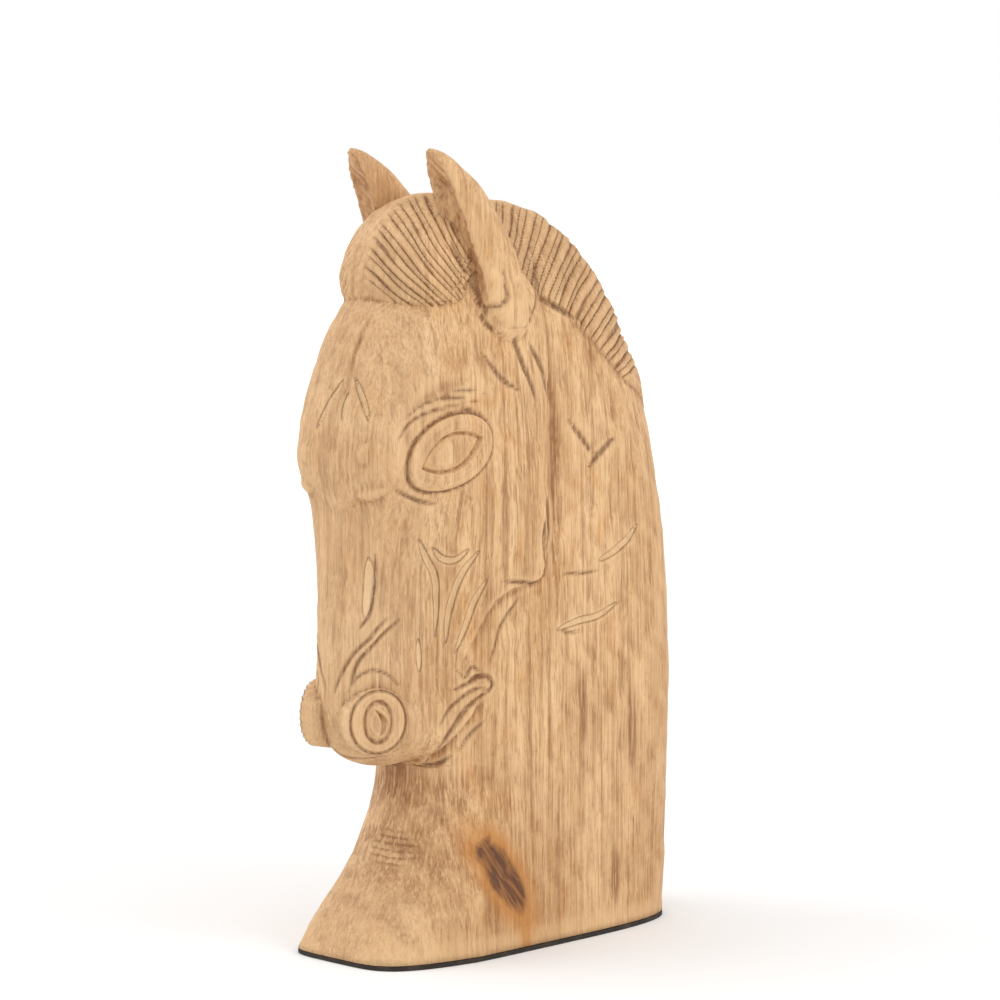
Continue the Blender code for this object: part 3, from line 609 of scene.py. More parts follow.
def smoothed(values, times):
    """Values averaged with their neighbours along the mesh edges, a few times over."""
    a, b = edges.T
    count = np.maximum(np.bincount(a, minlength=len(skin)) + np.bincount(b, minlength=len(skin)), 1)
    out = values.copy()
    for _ in range(times):
        total = [np.bincount(a, c[b], len(skin)) + np.bincount(b, c[a], len(skin))
                 for c in out.reshape(len(skin), -1).T]
        out = 0.5 * out + 0.5 * (np.stack(total, 1) / count[:, None]).reshape(out.shape)
    return out


# The tool marks
# Long gouge strokes down the cheeks and neck, cut lines round the jaw, mouth and
# brow, and soft folds over the muzzle, all left as the gouge and V tool made them.

# Name: places (x, y, z) on the left side, half width, depth. Each mark is repeated
# on the right side, a little off, unless it lies on the front of the face.
GOUGES = {"long cheek": ([(25, -70, 184), (25, -66, 177), (25.5, -61, 168), (25.5, -60, 159),
                          (25, -60.5, 142)], 1.7, 1.3),
          "under-eye crescent": ([(26, -62.5, 180), (27.5, -58, 175), (29, -53.5, 174),
                                  (32.5, -47, 178.5)], 1.6, 1.2),
          "middle cheek": ([(34, -42.5, 177.5), (31, -49, 169), (28.5, -53, 159), (27.5, -55, 149),
                            (27, -55.5, 139)], 1.7, 1.3),
          "back cheek": ([(34.5, -38, 165), (32.5, -43, 157), (30.5, -47, 146),
                          (27.5, -51, 134)], 1.6, 1.2),
          "pale cheek": ([(23, -68, 141), (23, -68, 134), (23, -67.5, 127)], 1.4, 0.6),
          "neck crescent": ([(36, 4.5, 139.5), (36, 17, 142), (36, 31.5, 143.5),
                             (36, 43, 148)], 1.6, 1.3),
          "neck curl": ([(34.5, 58, 182), (35, 50, 175), (35, 42, 171),
                         (35, 32.5, 167.5)], 1.8, 1.2),
          "neck curl end": ([(35, 42, 171), (35, 32.5, 167.5)], 1.2, 0.8)}
FRONT_GOUGES = {"leaf far": ([(2.5, -92.5, 252), (-3.5, -94.5, 242),
                              (-10.5, -95.5, 230.5)], 1.5, 1.1),
                "leaf middle": ([(6.5, -93, 247), (5.5, -94.5, 240.5),
                                 (4.5, -95.5, 235)], 1.2, 0.9),
                "leaf near": ([(8.5, -91, 253), (14, -92, 245), (19.5, -93.5, 235)], 1.5, 1.1),
                "nose trough": ([(16, -90.5, 177), (16, -90.5, 164), (14.5, -91.5, 152)], 2.6, 0.9)}
CREASES = {"cheek split": ([(35.5, 0.5, 199), (36, 0.5, 185), (37, -3, 175),
                            (36, -2.5, 164.5)], 1.5, 1.9),
           "cheek split front": ([(38, -5, 189), (38, -6, 178), (36.5, -4.5, 168.5)], 1.2, 1.3),
           "jaw": ([(36, -2.5, 164.5), (36.5, -11.5, 161), (37, -20.5, 162.5),
                    (36, -30, 163.5)], 0.9, 1.0),
           "jaw front": ([(35, -18.5, 156), (34.5, -23.5, 150.5), (33.5, -29, 143.5),
                          (33, -32.5, 134), (32, -34.5, 128)], 0.6, 0.5),
           "neck lip": ([(36, 6.5, 139), (36, 11.5, 137.5), (36, 20, 137.5)], 0.6, 0.6),
           "neck level": ([(35.5, 8.5, 163.5), (35.5, 20, 163), (35.5, 31, 163)], 0.6, 0.6),
           "nasal fold": ([(20, -76.5, 150), (17, -86.5, 142), (12.5, -94.5, 132),
                           (10, -96, 120)], 0.8, 0.7),
           "nasal fold upper": ([(18.5, -83, 150.5), (16, -89, 144), (10.5, -95.5, 135),
                                 (4.5, -97.5, 124), (2.5, -98, 119)], 0.8, 0.6),
           "nostril wing": ([(11, -95.5, 123), (13, -94.5, 126.5), (16, -90, 129), (19, -83, 127),
                             (20.5, -78, 122)], 0.6, 0.3),
           "mouth curl": ([(28, -51.5, 118), (29.5, -44.5, 120.5), (30.5, -38.5, 123),
                           (32, -35, 122), (32.5, -33, 119), (32, -34.5, 116)], 1.0, 1.1),
           "mouth": ([(32, -34.5, 116), (30, -45, 110.5), (27.5, -54.5, 99.5),
                      (19.5, -58, 90)], 0.9, 1.0),
           "mouth upper": ([(32, -35, 117), (30.5, -41, 117.5), (29, -48, 114.5), (28, -54.5, 110),
                            (26.5, -59.5, 103)], 0.7, 0.7),
           "mouth lower": ([(30.5, -35.5, 103.5), (27.5, -42.5, 97), (25, -46, 90.5)], 0.6, 0.6),
           "under eye": ([(27.5, -86, 206), (28, -74, 201), (29.5, -64, 198.5)], 0.8, 0.8),
           "brow": ([(30.5, -87, 228), (31.5, -81, 234.5), (32.5, -70.5, 238.5), (33.5, -56.5, 240),
                     (34, -42, 237)], 0.7, 0.6),
           "nose edge": ([(18.5, -89, 178.5), (18, -89, 170), (17.5, -89, 162.5),
                          (15.5, -90.5, 152.5), (13, -93.5, 147)], 0.8, 0.8),
           "temple front": ([(32, -38.5, 262), (33.5, -29, 251.5), (34.5, -19, 245.5)], 1.1, 0.5),
           "temple": ([(32.5, -21, 269), (33.5, -16, 259), (35, -8, 240.5)], 1.2, 1.1),
           "temple back": ([(33, -10, 265), (33.5, -5, 256), (33.5, -0.5, 242)], 1.1, 0.8),
           "neck V front": ([(32, 15.5, 230.5), (32.5, 22, 223.5), (33, 30.5, 215)], 1.2, 0.8),
           "neck V back": ([(32.5, 44.5, 221.5), (33, 36.5, 216.5), (33.5, 27.5, 209.5)], 1.2, 0.8),
           "ear split": ([(30.5, -37, 282.5), (33.5, -33.5, 282), (35.5, -28.5, 283.5),
                          (36, -26.5, 287), (35, -27.5, 291), (35.5, -28, 297)], 1.1, 1.4),
           "ear root nick": ([(28.5, -39.5, 285), (31, -36, 280.5), (29.5, -37, 276)], 0.9, 1.2),
           "ear root under": ([(30, -39, 278.5), (31, -34.5, 273.5), (31.5, -28, 270.5),
                               (32.5, -20, 268)], 0.8, 0.8),
           "ear foot": ([(33.5, -27, 274), (33.5, -21, 272), (32, -13, 273),
                         (31.5, -7.5, 276.5)], 0.9, 0.9),
           "ear back": ([(24, 3, 303), (25.5, 1.5, 295), (28, -1, 286),
                         (31.5, -7, 277.5)], 0.8, 0.8),
           "ear front": ([(25, -51, 311), (27.5, -46.5, 301.5), (27.5, -40, 292),
                          (30, -37.5, 283.5)], 0.8, 0.7),
           "brow upper": ([(31, -83.5, 236.5), (32, -73, 242), (33.5, -59.5, 244),
                           (34, -43, 241.5)], 0.6, 0.35),
           "brow top": ([(33, -66.5, 244), (33.5, -53.5, 247), (34, -39, 245)], 0.5, 0.25),
           "mouth corner": ([(28, -50, 126), (29, -45.5, 123), (29.5, -42, 127),
                             (31, -38, 124)], 0.6, 0.7),
           "chin": ([(11, -58.5, 83.5), (16, -55.5, 84.5), (20, -52.5, 85.5),
                     (22.5, -49, 88.5)], 0.9, 0.9),
           "crest edge": ([(28, 0, 285), (28.5, 13.5, 279), (28.5, 29.5, 272)], 0.8, 0.8)}
FRONT_CREASES = {"lip": ([(-8.5, -92.5, 97.5), (-2.5, -89.5, 91.5), (7.5, -87, 90.5),
                          (12, -80.5, 90)], 0.8, 0.7)}
FOLDS = {"brow valley": ([(31, -81, 240), (33, -65, 247), (33.5, -46, 252.5)], 3.5, 0.9),
         "behind the cheek": ([(33, 4, 255), (33, 7, 232), (35, 6, 205), (36, 6, 186),
                               (36, 3, 165)], 5.0, 2.2),
         "ear root hollow": ([(31, -37, 281), (33, -31, 277), (33, -24, 272)], 3.0, 1.0),
         "below the jaw": ([(36, -3, 158), (36, -14, 155), (34, -27, 142),
                            (32, -31, 128)], 4.0, 0.6),
         "beside the nose": ([(25, -76, 196), (22, -78, 178), (20, -79, 160)], 4.0, 0.8),
         "neck hollow": ([(33.5, 26, 207), (34, 28, 196.5), (34.5, 28, 185.5)], 3.5, 0.9),
         "neck hollow back": ([(33.5, 38, 204), (34, 42, 194), (34.5, 40, 184)], 3.0, 0.7)}
FRONT_FOLDS = {"valley": ([(8.5, -81.5, 279), (7, -85.5, 271), (5.5, -88.5, 263),
                           (6.5, -91, 252)], 2.0, 1.1),
               "between the brows": ([(6, -90, 254), (2, -95, 235), (0, -96, 215)], 4.0, 0.8),
               "down the nose": ([(5, -94, 176), (5, -95, 159), (4.5, -96.5, 142)], 3.0, 0.6)}
BEADS = {"lip band": ([(32, -36, 114), (29, -45, 107.5), (26, -54, 97)], 2.2, 0.8),
         "cheekbone": ([(13, -94, 203.5), (19.5, -92, 204.5), (25.5, -89.5, 207.5)], 2.6, 1.7),
         "brow lump": ([(20, -94, 226), (17.5, -95.5, 221), (20, -95.5, 217.5)], 3.2, 1.5),
         "nasal band": ([(19.5, -79.5, 150.5), (16.5, -88, 143), (11.5, -95, 133.5),
                         (7, -97, 121.5)], 2.0, 0.7)}
# Every mark is cut this much deeper than listed, and on the right side lies off by
# up to this much
DEEPER, SIDE_SHIFT = 1.1, 1.2
# Distance to a mark where none is near
FAR = 9.0


def distance_to(path, points, normals):
    """For each point: distance to the path and share along it. Of the squared distance
    nine tenths of the part along the skin's normal is left out."""
    best = np.full(len(points), 1e9)
    share = np.zeros(len(points))
    for i, (p, q) in enumerate(zip(path[:-1], path[1:])):
        run = q - p
        t = np.clip((points - p) @ run / (run @ run), 0.0, 1.0)
        gap = points - p - t[:, None] * run
        off = np.einsum("ij,ij->i", gap, gap) - 0.9 * np.einsum("ij,ij->i", gap, normals) ** 2
        nearer = off < best
        best[nearer] = off[nearer]
        share[nearer] = (i + t[nearer]) / (len(path) - 1)
    return np.sqrt(best), share


def marks(group, jitter_seed=None):
    """Smooth paths of a group of marks, with the right side's copies a little off."""
    shift = np.random.default_rng(jitter_seed)
    for places, half, depth in group.values():
        depth *= DEEPER
        yield smooth_line(places, 6), half, depth
        if jitter_seed is not None:
            off = shift.uniform(-SIDE_SHIFT, SIDE_SHIFT, 3) * np.array([0.0, 1.0, 1.0])
            path = smooth_line(places, 6) * np.array([-1.0, 1.0, 1.0]) + off
            yield path, half * shift.uniform(0.9, 1.1), depth * shift.uniform(0.85, 1.1)


def cut_marks(group, section, blunt, jitter_seed=None):
    """Depth of a group of marks at every point: depth x section(distance / half
    width), the half width and depth running out at both ends by sin^blunt. Also the
    distance outside the nearest mark's edge, in millimetres."""
    sunk = np.zeros(len(skin))
    edge = np.full(len(skin), FAR)
    for path, half, depth in marks(group, jitter_seed):
        margin = 3.5 * half + 2.5
        close = np.all((skin > path.min(0) - margin) & (skin < path.max(0) + margin), axis=1)
        close = np.nonzero(close)[0]
        gap, share = distance_to(path, skin[close], facing[close])
        taper = np.sin(math.pi * np.clip(share, 0.02, 0.98)) ** blunt
        sunk[close] += depth * taper * section(gap / (half * taper))
        edge[close] = np.minimum(edge[close], gap - half * taper)
    return sunk, edge


def gouge_section(q):
    """Round trough, 1 - q^2 for q below 1, less a burr 0.22 high just outside it."""
    return np.clip(1.0 - q * q, 0.0, 1.0) - 0.22 * np.exp(-((q - 1.35) / 0.35) ** 2)


def crease_section(q):
    """Narrow cut with soft shoulders: exp(-1.1 q^2)."""
    return np.exp(-1.1 * q * q)


# The V cuts of the hair fan out on both sides from a pole for the mane and one for
# the forelock. A pole is given by how far it lies along a line that slants out and
# back, |x| and y in these shares, and by its height.
HAIR_SLANT = (0.715, 0.699)
MANE_FAN, FORELOCK_FAN = (-8.4, 198.0), (22.4, 239.0)
# Angle about the pole in degrees, number of the lock there
MANE_LOCKS = [(34.0, -1.8), (38.0, 0.0), (50.0, 5.0), (62.0, 10.4), (75.0, 17.6), (92.0, 28.0)]
FORELOCK_LOCKS = [(20.0, -6.0), (36.0, 0.0), (50.0, 6.6), (64.0, 14.0), (84.0, 24.0)]
HAIR_WIDTH, HAIR_DEPTH = 0.8, 1.7


def lock_field(pole, back, locks):
    """Number of the lock at each point, whole numbers lying on the V cuts, and the
    locks' width there in millimetres. The number is interpolated from the angle about
    the pole and shaken by slow sine waves, so that no two locks are alike. Angles
    grow from the back where back is 1, and from the front where it is -1."""
    a = np.abs(skin[:, 0]) * HAIR_SLANT[0] + skin[:, 1] * HAIR_SLANT[1] - pole[0]
    up = skin[:, 2] - pole[1]
    radius = np.hypot(a, up)
    angle = np.degrees(np.arctan2(up, back * a))
    knots, numbers = np.array(locks).T
    number = np.interp(angle + 0.3 * np.sin(radius * 0.16 + 1.3), knots, numbers)
    number += 0.16 * np.sin(number * 2.4) + 0.1 * np.sin(number * 5.3 + radius * 0.2)
    width = np.interp(number, numbers, np.gradient(knots, numbers))
    return number, np.radians(width) * radius


gouged, gouge_edge = cut_marks(GOUGES, gouge_section, blunt=0.4, jitter_seed=3)
gouged_front, gouge_edge_front = cut_marks(FRONT_GOUGES, gouge_section, blunt=0.45)
creased, crease_edge = cut_marks(CREASES, crease_section, blunt=0.35, jitter_seed=5)
creased_front, crease_edge_front = cut_marks(FRONT_CREASES, crease_section, blunt=0.35)
folded, _ = cut_marks(FOLDS, crease_section, blunt=0.7, jitter_seed=7)
folded_front, _ = cut_marks(FRONT_FOLDS, crease_section, blunt=0.7)
raised, _ = cut_marks(BEADS, crease_section, blunt=0.6, jitter_seed=9)

# Lines that close on themselves: centre on the left side, the way they face and
# their tilt in degrees, half length and half height
OVALS = {"lid": ((33.0, -59.0, 220.8), 90.0, EYE_TILT, 24.6, 15.8),
         "nostril ring": (NOSTRIL_CENTRE, NOSTRIL_FACING, 0.0, 12.9, 13.5),
         "nostril rim": (NOSTRIL_CENTRE, NOSTRIL_FACING, 0.0, 6.2, 8.8)}
OVAL_CUT, OVAL_WIDTH, OVAL_REACH = 0.6, 0.7, 7.0
# Ribs round the rim of each nostril, from this radius out
NOSTRIL_RIBS, RIB_CUT = 27, 0.4
RIBS_FROM, RIBS_FADE = 12.6, 1.2
# All marks fade out over this height above the foot
FOOT_FADE = 6.0
# The pared surface is a little uneven: depth, and lengths of its waves
WAVER, WAVER_SEED = 0.28, 11
WAVE_LENGTHS = (13.0, 19.0, 27.0, 41.0)
# Chips left by the chisel in the ears' hollows and on the forelock's rough front
EAR_CHIPS, FORELOCK_CHIPS = 0.35, 0.3


def on_plane(centre, facing_turn, tilt):
    """Places along and up a plane through the centre, and distance off it."""
    from_centre = np.stack([np.abs(skin[:, 0]), skin[:, 1], skin[:, 2]], 1) - np.array(centre)
    f, t = math.radians(facing_turn), math.radians(tilt)
    a = from_centre @ np.array([math.cos(f), math.sin(f), 0.0])
    off = np.abs(from_centre @ np.array([math.sin(f), -math.cos(f), 0.0]))
    b = from_centre[:, 2]
    return a * math.cos(t) + b * math.sin(t), b * math.cos(t) - a * math.sin(t), off


oval_edge = np.full(len(skin), FAR)
for centre, facing_turn, tilt, long, high in OVALS.values():
    a, b, off = on_plane(centre, facing_turn, tilt)
    gap = np.abs(np.hypot(a / long, b / high) - 1.0) * math.sqrt(long * high)
    oval_edge = np.where(off < OVAL_REACH, np.minimum(oval_edge, gap), oval_edge)
a, b, off = on_plane(NOSTRIL_CENTRE, NOSTRIL_FACING, 0.0)
ribbed = on_form("nostril") * np.clip((np.hypot(a, b) - RIBS_FROM) / RIBS_FADE, 0.0, 1.0)
ribs = RIB_CUT * np.sin(np.arctan2(b, a) * NOSTRIL_RIBS) * ribbed

# Eyes and nostrils keep their own form, so other marks are faint on them
plain = 1.0 - 0.8 * smoothed(np.maximum(on_form("eye"), on_form("nostril")), 2)
foot = np.clip((skin[:, 2] - DRAWN_FLOOR) / FOOT_FADE, 0.0, 1.0)
waver = np.random.default_rng(WAVER_SEED)
wave = np.zeros(len(skin))
for length in WAVE_LENGTHS:
    lean = waver.normal(0.0, 1.0, 3) * np.array([1.0, 1.0, 0.55])
    lean *= 2 * math.pi / length / np.linalg.norm(lean)
    bend = 1.3 * np.sin(skin @ np.roll(lean, 1) * 0.6)
    wave += np.sin(skin @ lean + bend + waver.uniform(0.0, 6.0)) / 2.0
depth = gouged + gouged_front + (creased + creased_front + folded + folded_front - raised) * plain
depth += WAVER * (0.6 + wave) * plain + ribs + OVAL_CUT * np.exp(-(oval_edge / OVAL_WIDTH) ** 2)

hollow = smoothed(on_form("ear") * np.clip(-1.6 * facing[:, 1] - 0.35, 0.0, 1.0), 1)
chips = np.sin(skin @ np.array([1.3, 0.5, 0.8]) + 2.0 * np.sin(skin @ np.array([0.2, 0.7, 1.1])))
depth += EAR_CHIPS * chips * hollow
rough = smoothed(on_form("forelock") * np.clip((-74.0 - skin[:, 1]) / 8.0, 0.0, 1.0), 1)
depth += FORELOCK_CHIPS * chips * rough
hollow = np.maximum(hollow, 0.5 * rough)

# The V cuts stop short of the ridge. On the forelock they also leave out its rough
# front and a patch on the front just right of the middle.
mane_lock, mane_width = lock_field(MANE_FAN, 1.0, MANE_LOCKS)
forelock_lock, forelock_width = lock_field(FORELOCK_FAN, -1.0, FORELOCK_LOCKS)
ridge_top = np.clip((np.abs(skin[:, 0]) - 1.0) / 5.0, 0.0, 1.0)
well_back = np.maximum((skin[:, 1] + 62.0) / 10.0, (-skin[:, 0] - 9.0) / 6.0)
smooth_roll = np.clip((skin[:, 1] + 88.0) / 8.0, 0.0, 1.0) * np.clip(forelock_lock + 0.6, 0.0, 1.0)
smooth_roll *= np.where(skin[:, 0] > 0.0, 1.0, np.clip(well_back, 0.0, 1.0))
mane_cut = ridge_top * np.clip(smoothed(on_form("mane"), 1) * 2.0 - 1.0, 0.0, 1.0)
forelock_cut = np.clip(smoothed(on_form("forelock"), 1) * 2.0 - 1.0, 0.0, 1.0)
forelock_cut *= ridge_top * smooth_roll
for number, width, share in ((mane_lock, mane_width, mane_cut),
                             (forelock_lock, forelock_width, forelock_cut)):
    gap = np.abs(number - np.round(number)) * width
    strength = 0.85 + 0.25 * np.sin(np.round(number) * 2.7)
    depth += share * (HAIR_DEPTH * strength * np.exp(-(gap / HAIR_WIDTH) ** 1.5) + 0.08 * gap)
carved = skin - facing * (depth * foot)[:, None]

# The finish needs to know, for every point, how deep it lies among its neighbours,
# near ones and those further off, and how far it is from the edge of a cut.
lying = np.einsum("ij,ij->i", smoothed(carved, 4) - carved, facing) * (1.0 + 5.0 * (1.0 - plain))
lying_wide = np.einsum("ij,ij->i", smoothed(carved, 26) - carved, facing)
narrow, wide = np.clip(lying / 0.12, 0.0, 1.0), np.clip(lying_wide / 0.6 - 0.15, 0.0, 1.0)
# recess carries the brown wash and painted shade of the cuts and hollows, ridge the rubbed edges and
# their painted highlight
recess = smoothed(narrow * 0.6 + wide * 0.5, 1)
ridge = smoothed(np.clip(-lying / 0.16, 0.0, 1.0), 1)
cut_edge = np.minimum(gouge_edge, gouge_edge_front)
crease = np.minimum(np.minimum(crease_edge, crease_edge_front), oval_edge - 0.35)


# The toe is carved a little off to the right: metres, and the y and z where it starts
TOE_DRIFT = 0.006
TOE_BACK, TOE_LONG = -45.0, 45.0
TOE_TOP, TOE_TALL = 62.0, 60.0


def full_size(points):
    """Drawing millimetres to metres between the frame's own foot and top, x less the
    toe's drift x share forward x (3 t^2 - 2 t^3), t being the share down."""
    low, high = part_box("horse_head")
    forward = np.clip((TOE_BACK - points[:, 1]) / TOE_LONG, 0.0, 1.0)
    down = np.clip((TOE_TOP - points[:, 2]) / TOE_TALL, 0.0, 1.0)
    out = points * 0.001
    out[:, 0] -= TOE_DRIFT * forward * down * down * (3.0 - 2.0 * down)
    rise = (high[2] - low[2]) / (DRAWN_TOP - DRAWN_FLOOR)
    out[:, 2] = low[2] + (points[:, 2] - DRAWN_FLOOR) * rise
    return np.clip(out, np.array(low), np.array(high))


mesh.vertices.foreach_set("co", full_size(carved).astype(np.float32).ravel())
mesh.attributes.remove(mesh.attributes["form"])
hair = smoothed(np.maximum(on_form("mane"), 0.4 * on_form("forelock")), 3)
for name, values in {"recess": recess, "ridge": ridge, "cut_edge": np.clip(cut_edge, -3.0, 3.0),
                     "crease": np.clip(crease, -3.0, 3.0), "hollow": hollow, "hair": hair,
                     "mane_lock": mane_lock, "mane_cut": mane_cut,
                     "forelock_lock": forelock_lock, "forelock_cut": forelock_cut}.items():
    mesh.attributes.new(name, "FLOAT", "POINT").data.foreach_set("value", values.astype(np.float32))
mesh.polygons.foreach_set("use_smooth", np.ones(len(mesh.polygons), bool))
mesh.update()


# The wood's finish
# Pale hardwood with a straight upright grain, brushed with a thin brown wash that
# stays in the cuts and hollows and is rubbed off the edges, then waxed dull. The cuts,
# hollows and back of the neck are also darkened as painted shade, and the edges, gouge
# strokes and front of the face are lightened as painted light.
def linear(red, green, blue):
    """Colour from 0 to 255, as a paint chart gives it, to the shader's linear scale."""
    chart = np.array([red, green, blue]) / 255.0
    values = np.where(chart <= 0.04045, chart / 12.92, ((chart + 0.055) / 1.055) ** 2.4)
    return (*values.tolist(), 1.0)


def add(tree, kind, inputs=None, **settings):
    """New shader node; inputs gives its sockets either a value or another socket."""
    made = tree.nodes.new(kind)
    for name, value in settings.items():
        setattr(made, name, value)
    for name, value in (inputs or {}).items():
        if isinstance(value, bpy.types.NodeSocket):
            tree.links.new(value, made.inputs[name])
        else:
            made.inputs[name].default_value = value
    return made


def blend(tree, share, under, over):
    """Colour over another by a share."""
    made = tree.nodes.new("ShaderNodeMix")
    made.data_type = "RGBA"
    for socket, value in zip((made.inputs[0], made.inputs[6], made.inputs[7]), (share, under, over)):
        if isinstance(value, bpy.types.NodeSocket):
            tree.links.new(value, socket)
        else:
            socket.default_value = value
    return made.outputs[2]


def between(tree, value, low, high, to_low=0.0, to_high=1.0):
    """Smooth rise or fall, 3 t^2 - 2 t^3, as a value goes from one level to another."""
    made = add(tree, "ShaderNodeMapRange", {"Value": value, "From Min": low, "From Max": high,
                                            "To Min": to_low, "To Max": to_high},
               interpolation_type="SMOOTHSTEP")
    return made.outputs["Result"]


def reckon(tree, operation, first, second=0.0):
    """Sum, quotient or the like of two values."""
    made = tree.nodes.new("ShaderNodeMath")
    made.operation = operation
    for socket, value in zip(made.inputs, (first, second)):
        if isinstance(value, bpy.types.NodeSocket):
            tree.links.new(value, socket)
        else:
            socket.default_value = value
    return made.outputs[0]


def times(tree, first, *others):
    """Product of two or more values."""
    product = first
    for value in others:
        product = reckon(tree, "MULTIPLY", product, value)
    return product


def grain_group():
    """Noise drawn out along the upright grain: noise of scale 1000 / Across, with z
    squeezed by Across / Along, both being sizes of its crumbs in millimetres."""
    group = bpy.data.node_groups.new("grain", "ShaderNodeTree")
    group.interface.new_socket("Place", in_out="INPUT", socket_type="NodeSocketVector")
    for label in ("Across", "Along", "Detail", "Twist"):
        group.interface.new_socket(label, in_out="INPUT", socket_type="NodeSocketFloat")
    group.interface.new_socket("Level", in_out="OUTPUT", socket_type="NodeSocketFloat")
    given = group.nodes.new("NodeGroupInput").outputs
    squeeze = reckon(group, "DIVIDE", given["Across"], given["Along"])
    scale = add(group, "ShaderNodeCombineXYZ", {"X": 1.0, "Y": 1.0, "Z": squeeze})
    drawn = add(group, "ShaderNodeMapping", {"Vector": given["Place"], "Scale": scale.outputs[0]})
    fineness = reckon(group, "DIVIDE", 1000.0, given["Across"])
    noise = add(group, "ShaderNodeTexNoise", {"Vector": drawn.outputs[0], "Scale": fineness,
                                              "Detail": given["Detail"],
                                              "Distortion": given["Twist"]})
    group.links.new(noise.outputs["Fac"], group.nodes.new("NodeGroupOutput").inputs["Level"])
    return group


GRAIN = grain_group()


def grain(tree, place, across, along, detail, twist):
    """Level of the grain group, placed with its own values."""
    values = {"Place": place, "Across": across, "Along": along, "Detail": detail, "Twist": twist}
    return add(tree, "ShaderNodeGroup", values, node_tree=GRAIN).outputs["Level"]


def away_from(tree, place, centre, half_sizes):
    """Distance from a centre in units of an egg's half sizes: 1 on its shell."""
    moved = add(tree, "ShaderNodeVectorMath", {0: place, 1: centre}, operation="SUBTRACT")
    shrunk = add(tree, "ShaderNodeVectorMath", {0: moved.outputs[0], 1: half_sizes},
                 operation="DIVIDE")
    length = add(tree, "ShaderNodeVectorMath", {0: shrunk.outputs[0]}, operation="LENGTH")
    return length.outputs["Value"]


def mark(tree, name):
    """Value of one of the attributes written on the carving's points."""
    return add(tree, "ShaderNodeAttribute", attribute_name=name).outputs["Fac"]


# The wash colour is also painted shade in the cuts and hollows, the cut line colour is wash and
# painted shade, the fresh colour in the gouges is fresh wood and painted light, and the greyer pale
# colour is painted light on the front of the face.
PALE, TAN, DEEP = linear(228, 188, 140), linear(204, 160, 111), linear(168, 120, 74)
ORANGE, WASH_AND_SHADE = linear(204, 142, 74), linear(134, 84, 46)
CUT_LINE, HAIR = linear(98, 58, 32), linear(182, 136, 96)
FRESH_AND_LIT, FACE_FRONT_LIGHT = linear(232, 198, 154), linear(204, 171, 134)
# Width and length of each noise's crumbs in millimetres, its detail and its twist
NOISES = {"patches": (26.0, 60.0, 3.0, 0.6),
          "stains": (17.0, 30.0, 4.0, 1.2),
          "shade": (24.0, 90.0, 4.0, 0.8),
          "bands": (6.0, 120.0, 2.0, 0.3),
          "streaks": (1.3, 70.0, 3.0, 0.2),
          "hairs": (0.5, 24.0, 2.0, 0.0),
          "mottle": (2.2, 3.4, 4.0, 0.4),
          "flecks": (0.7, 5.0, 4.0, 0.4),
          "runs": (3.0, 150.0, 2.0, 0.15),
          "pores": (0.8, 9.0, 1.0, 0.0)}
# Tones laid on the pale ground in turn: noise, or y in metres, level where the tone
# starts and where it is full, its share when full, the tone
TONES = [("patches", 0.35, 0.66, 1.0, TAN),
         ("stains", 0.52, 0.72, 0.5, ORANGE),
         ("shade", 0.48, 0.68, 0.34, DEEP),
         ("bands", 0.46, 0.68, 0.5, DEEP),
         ("streaks", 0.5, 0.68, 0.55, DEEP),
         ("streaks", 0.5, 0.32, 0.6, PALE),
         ("hairs", 0.5, 0.68, 0.48, WASH_AND_SHADE),
         ("pores", 0.62, 0.74, 0.4, WASH_AND_SHADE),
         ("runs", 0.56, 0.68, 0.5, WASH_AND_SHADE),
         # By y: painted shade darkens the back of the neck, and painted light makes the front of the
         # face paler and greyer
         ("y", 0.058, 0.092, 0.42, DEEP),
         ("y", -0.045, -0.08, 0.3, FACE_FRONT_LIGHT),
         ("flecks", 0.46, 0.3, 0.32, DEEP),
         ("flecks", 0.54, 0.7, 0.42, PALE)]
# Shares of the hair's tint, of the same tint in the ears' hollows and on the forelock's rough front
# as wash and painted shade, and of the pale on the edges as rubbed wood and painted highlight
HAIR_SHARE, HOLLOW_SHARE, RUBBED_AND_LIT_SHARE = 0.3, 0.6, 0.5
# How far the brown wash and painted shade cover a cut and how far the dark line of wash and painted
# shade in it does
WASH_AND_SHADE_SHARE, LINE_SHARE = 0.68, 0.62
# Half width of the dark lines, wash and painted shade, in the hair's V cuts, as a share of a lock
MANE_LINE_HALF, FORELOCK_LINE_HALF = 0.13, 0.115
# Height of the finish's own fine relief, in metres, and its strength
RELIEF_HEIGHT, RELIEF_STRENGTH = 0.0006, 0.8


def dark_cut_lines(tree, mottle):
    """Masks of the dark lines, wash and painted shade in the cuts: along the hair's cuts,
    where the lock number is near a whole number, and all lines together, broken up by
    the mottle."""
    locks = []
    for form, wide in (("mane", MANE_LINE_HALF), ("forelock", FORELOCK_LINE_HALF)):
        off = reckon(tree, "PINGPONG", mark(tree, form + "_lock"), 0.5)
        locks.append(times(tree, between(tree, off, wide, wide * 0.2), mark(tree, form + "_cut")))
    locks = reckon(tree, "MAXIMUM", *locks)
    rim = between(tree, reckon(tree, "ABSOLUTE", mark(tree, "cut_edge")), 0.45, 0.0, 0.0, 0.6)
    line = between(tree, mark(tree, "crease"), 0.35, -0.35)
    drawn = reckon(tree, "MAXIMUM", reckon(tree, "MAXIMUM", rim, line), locks)
    return locks, times(tree, drawn, between(tree, mottle, 0.3, 0.55, 0.5, 1.0))


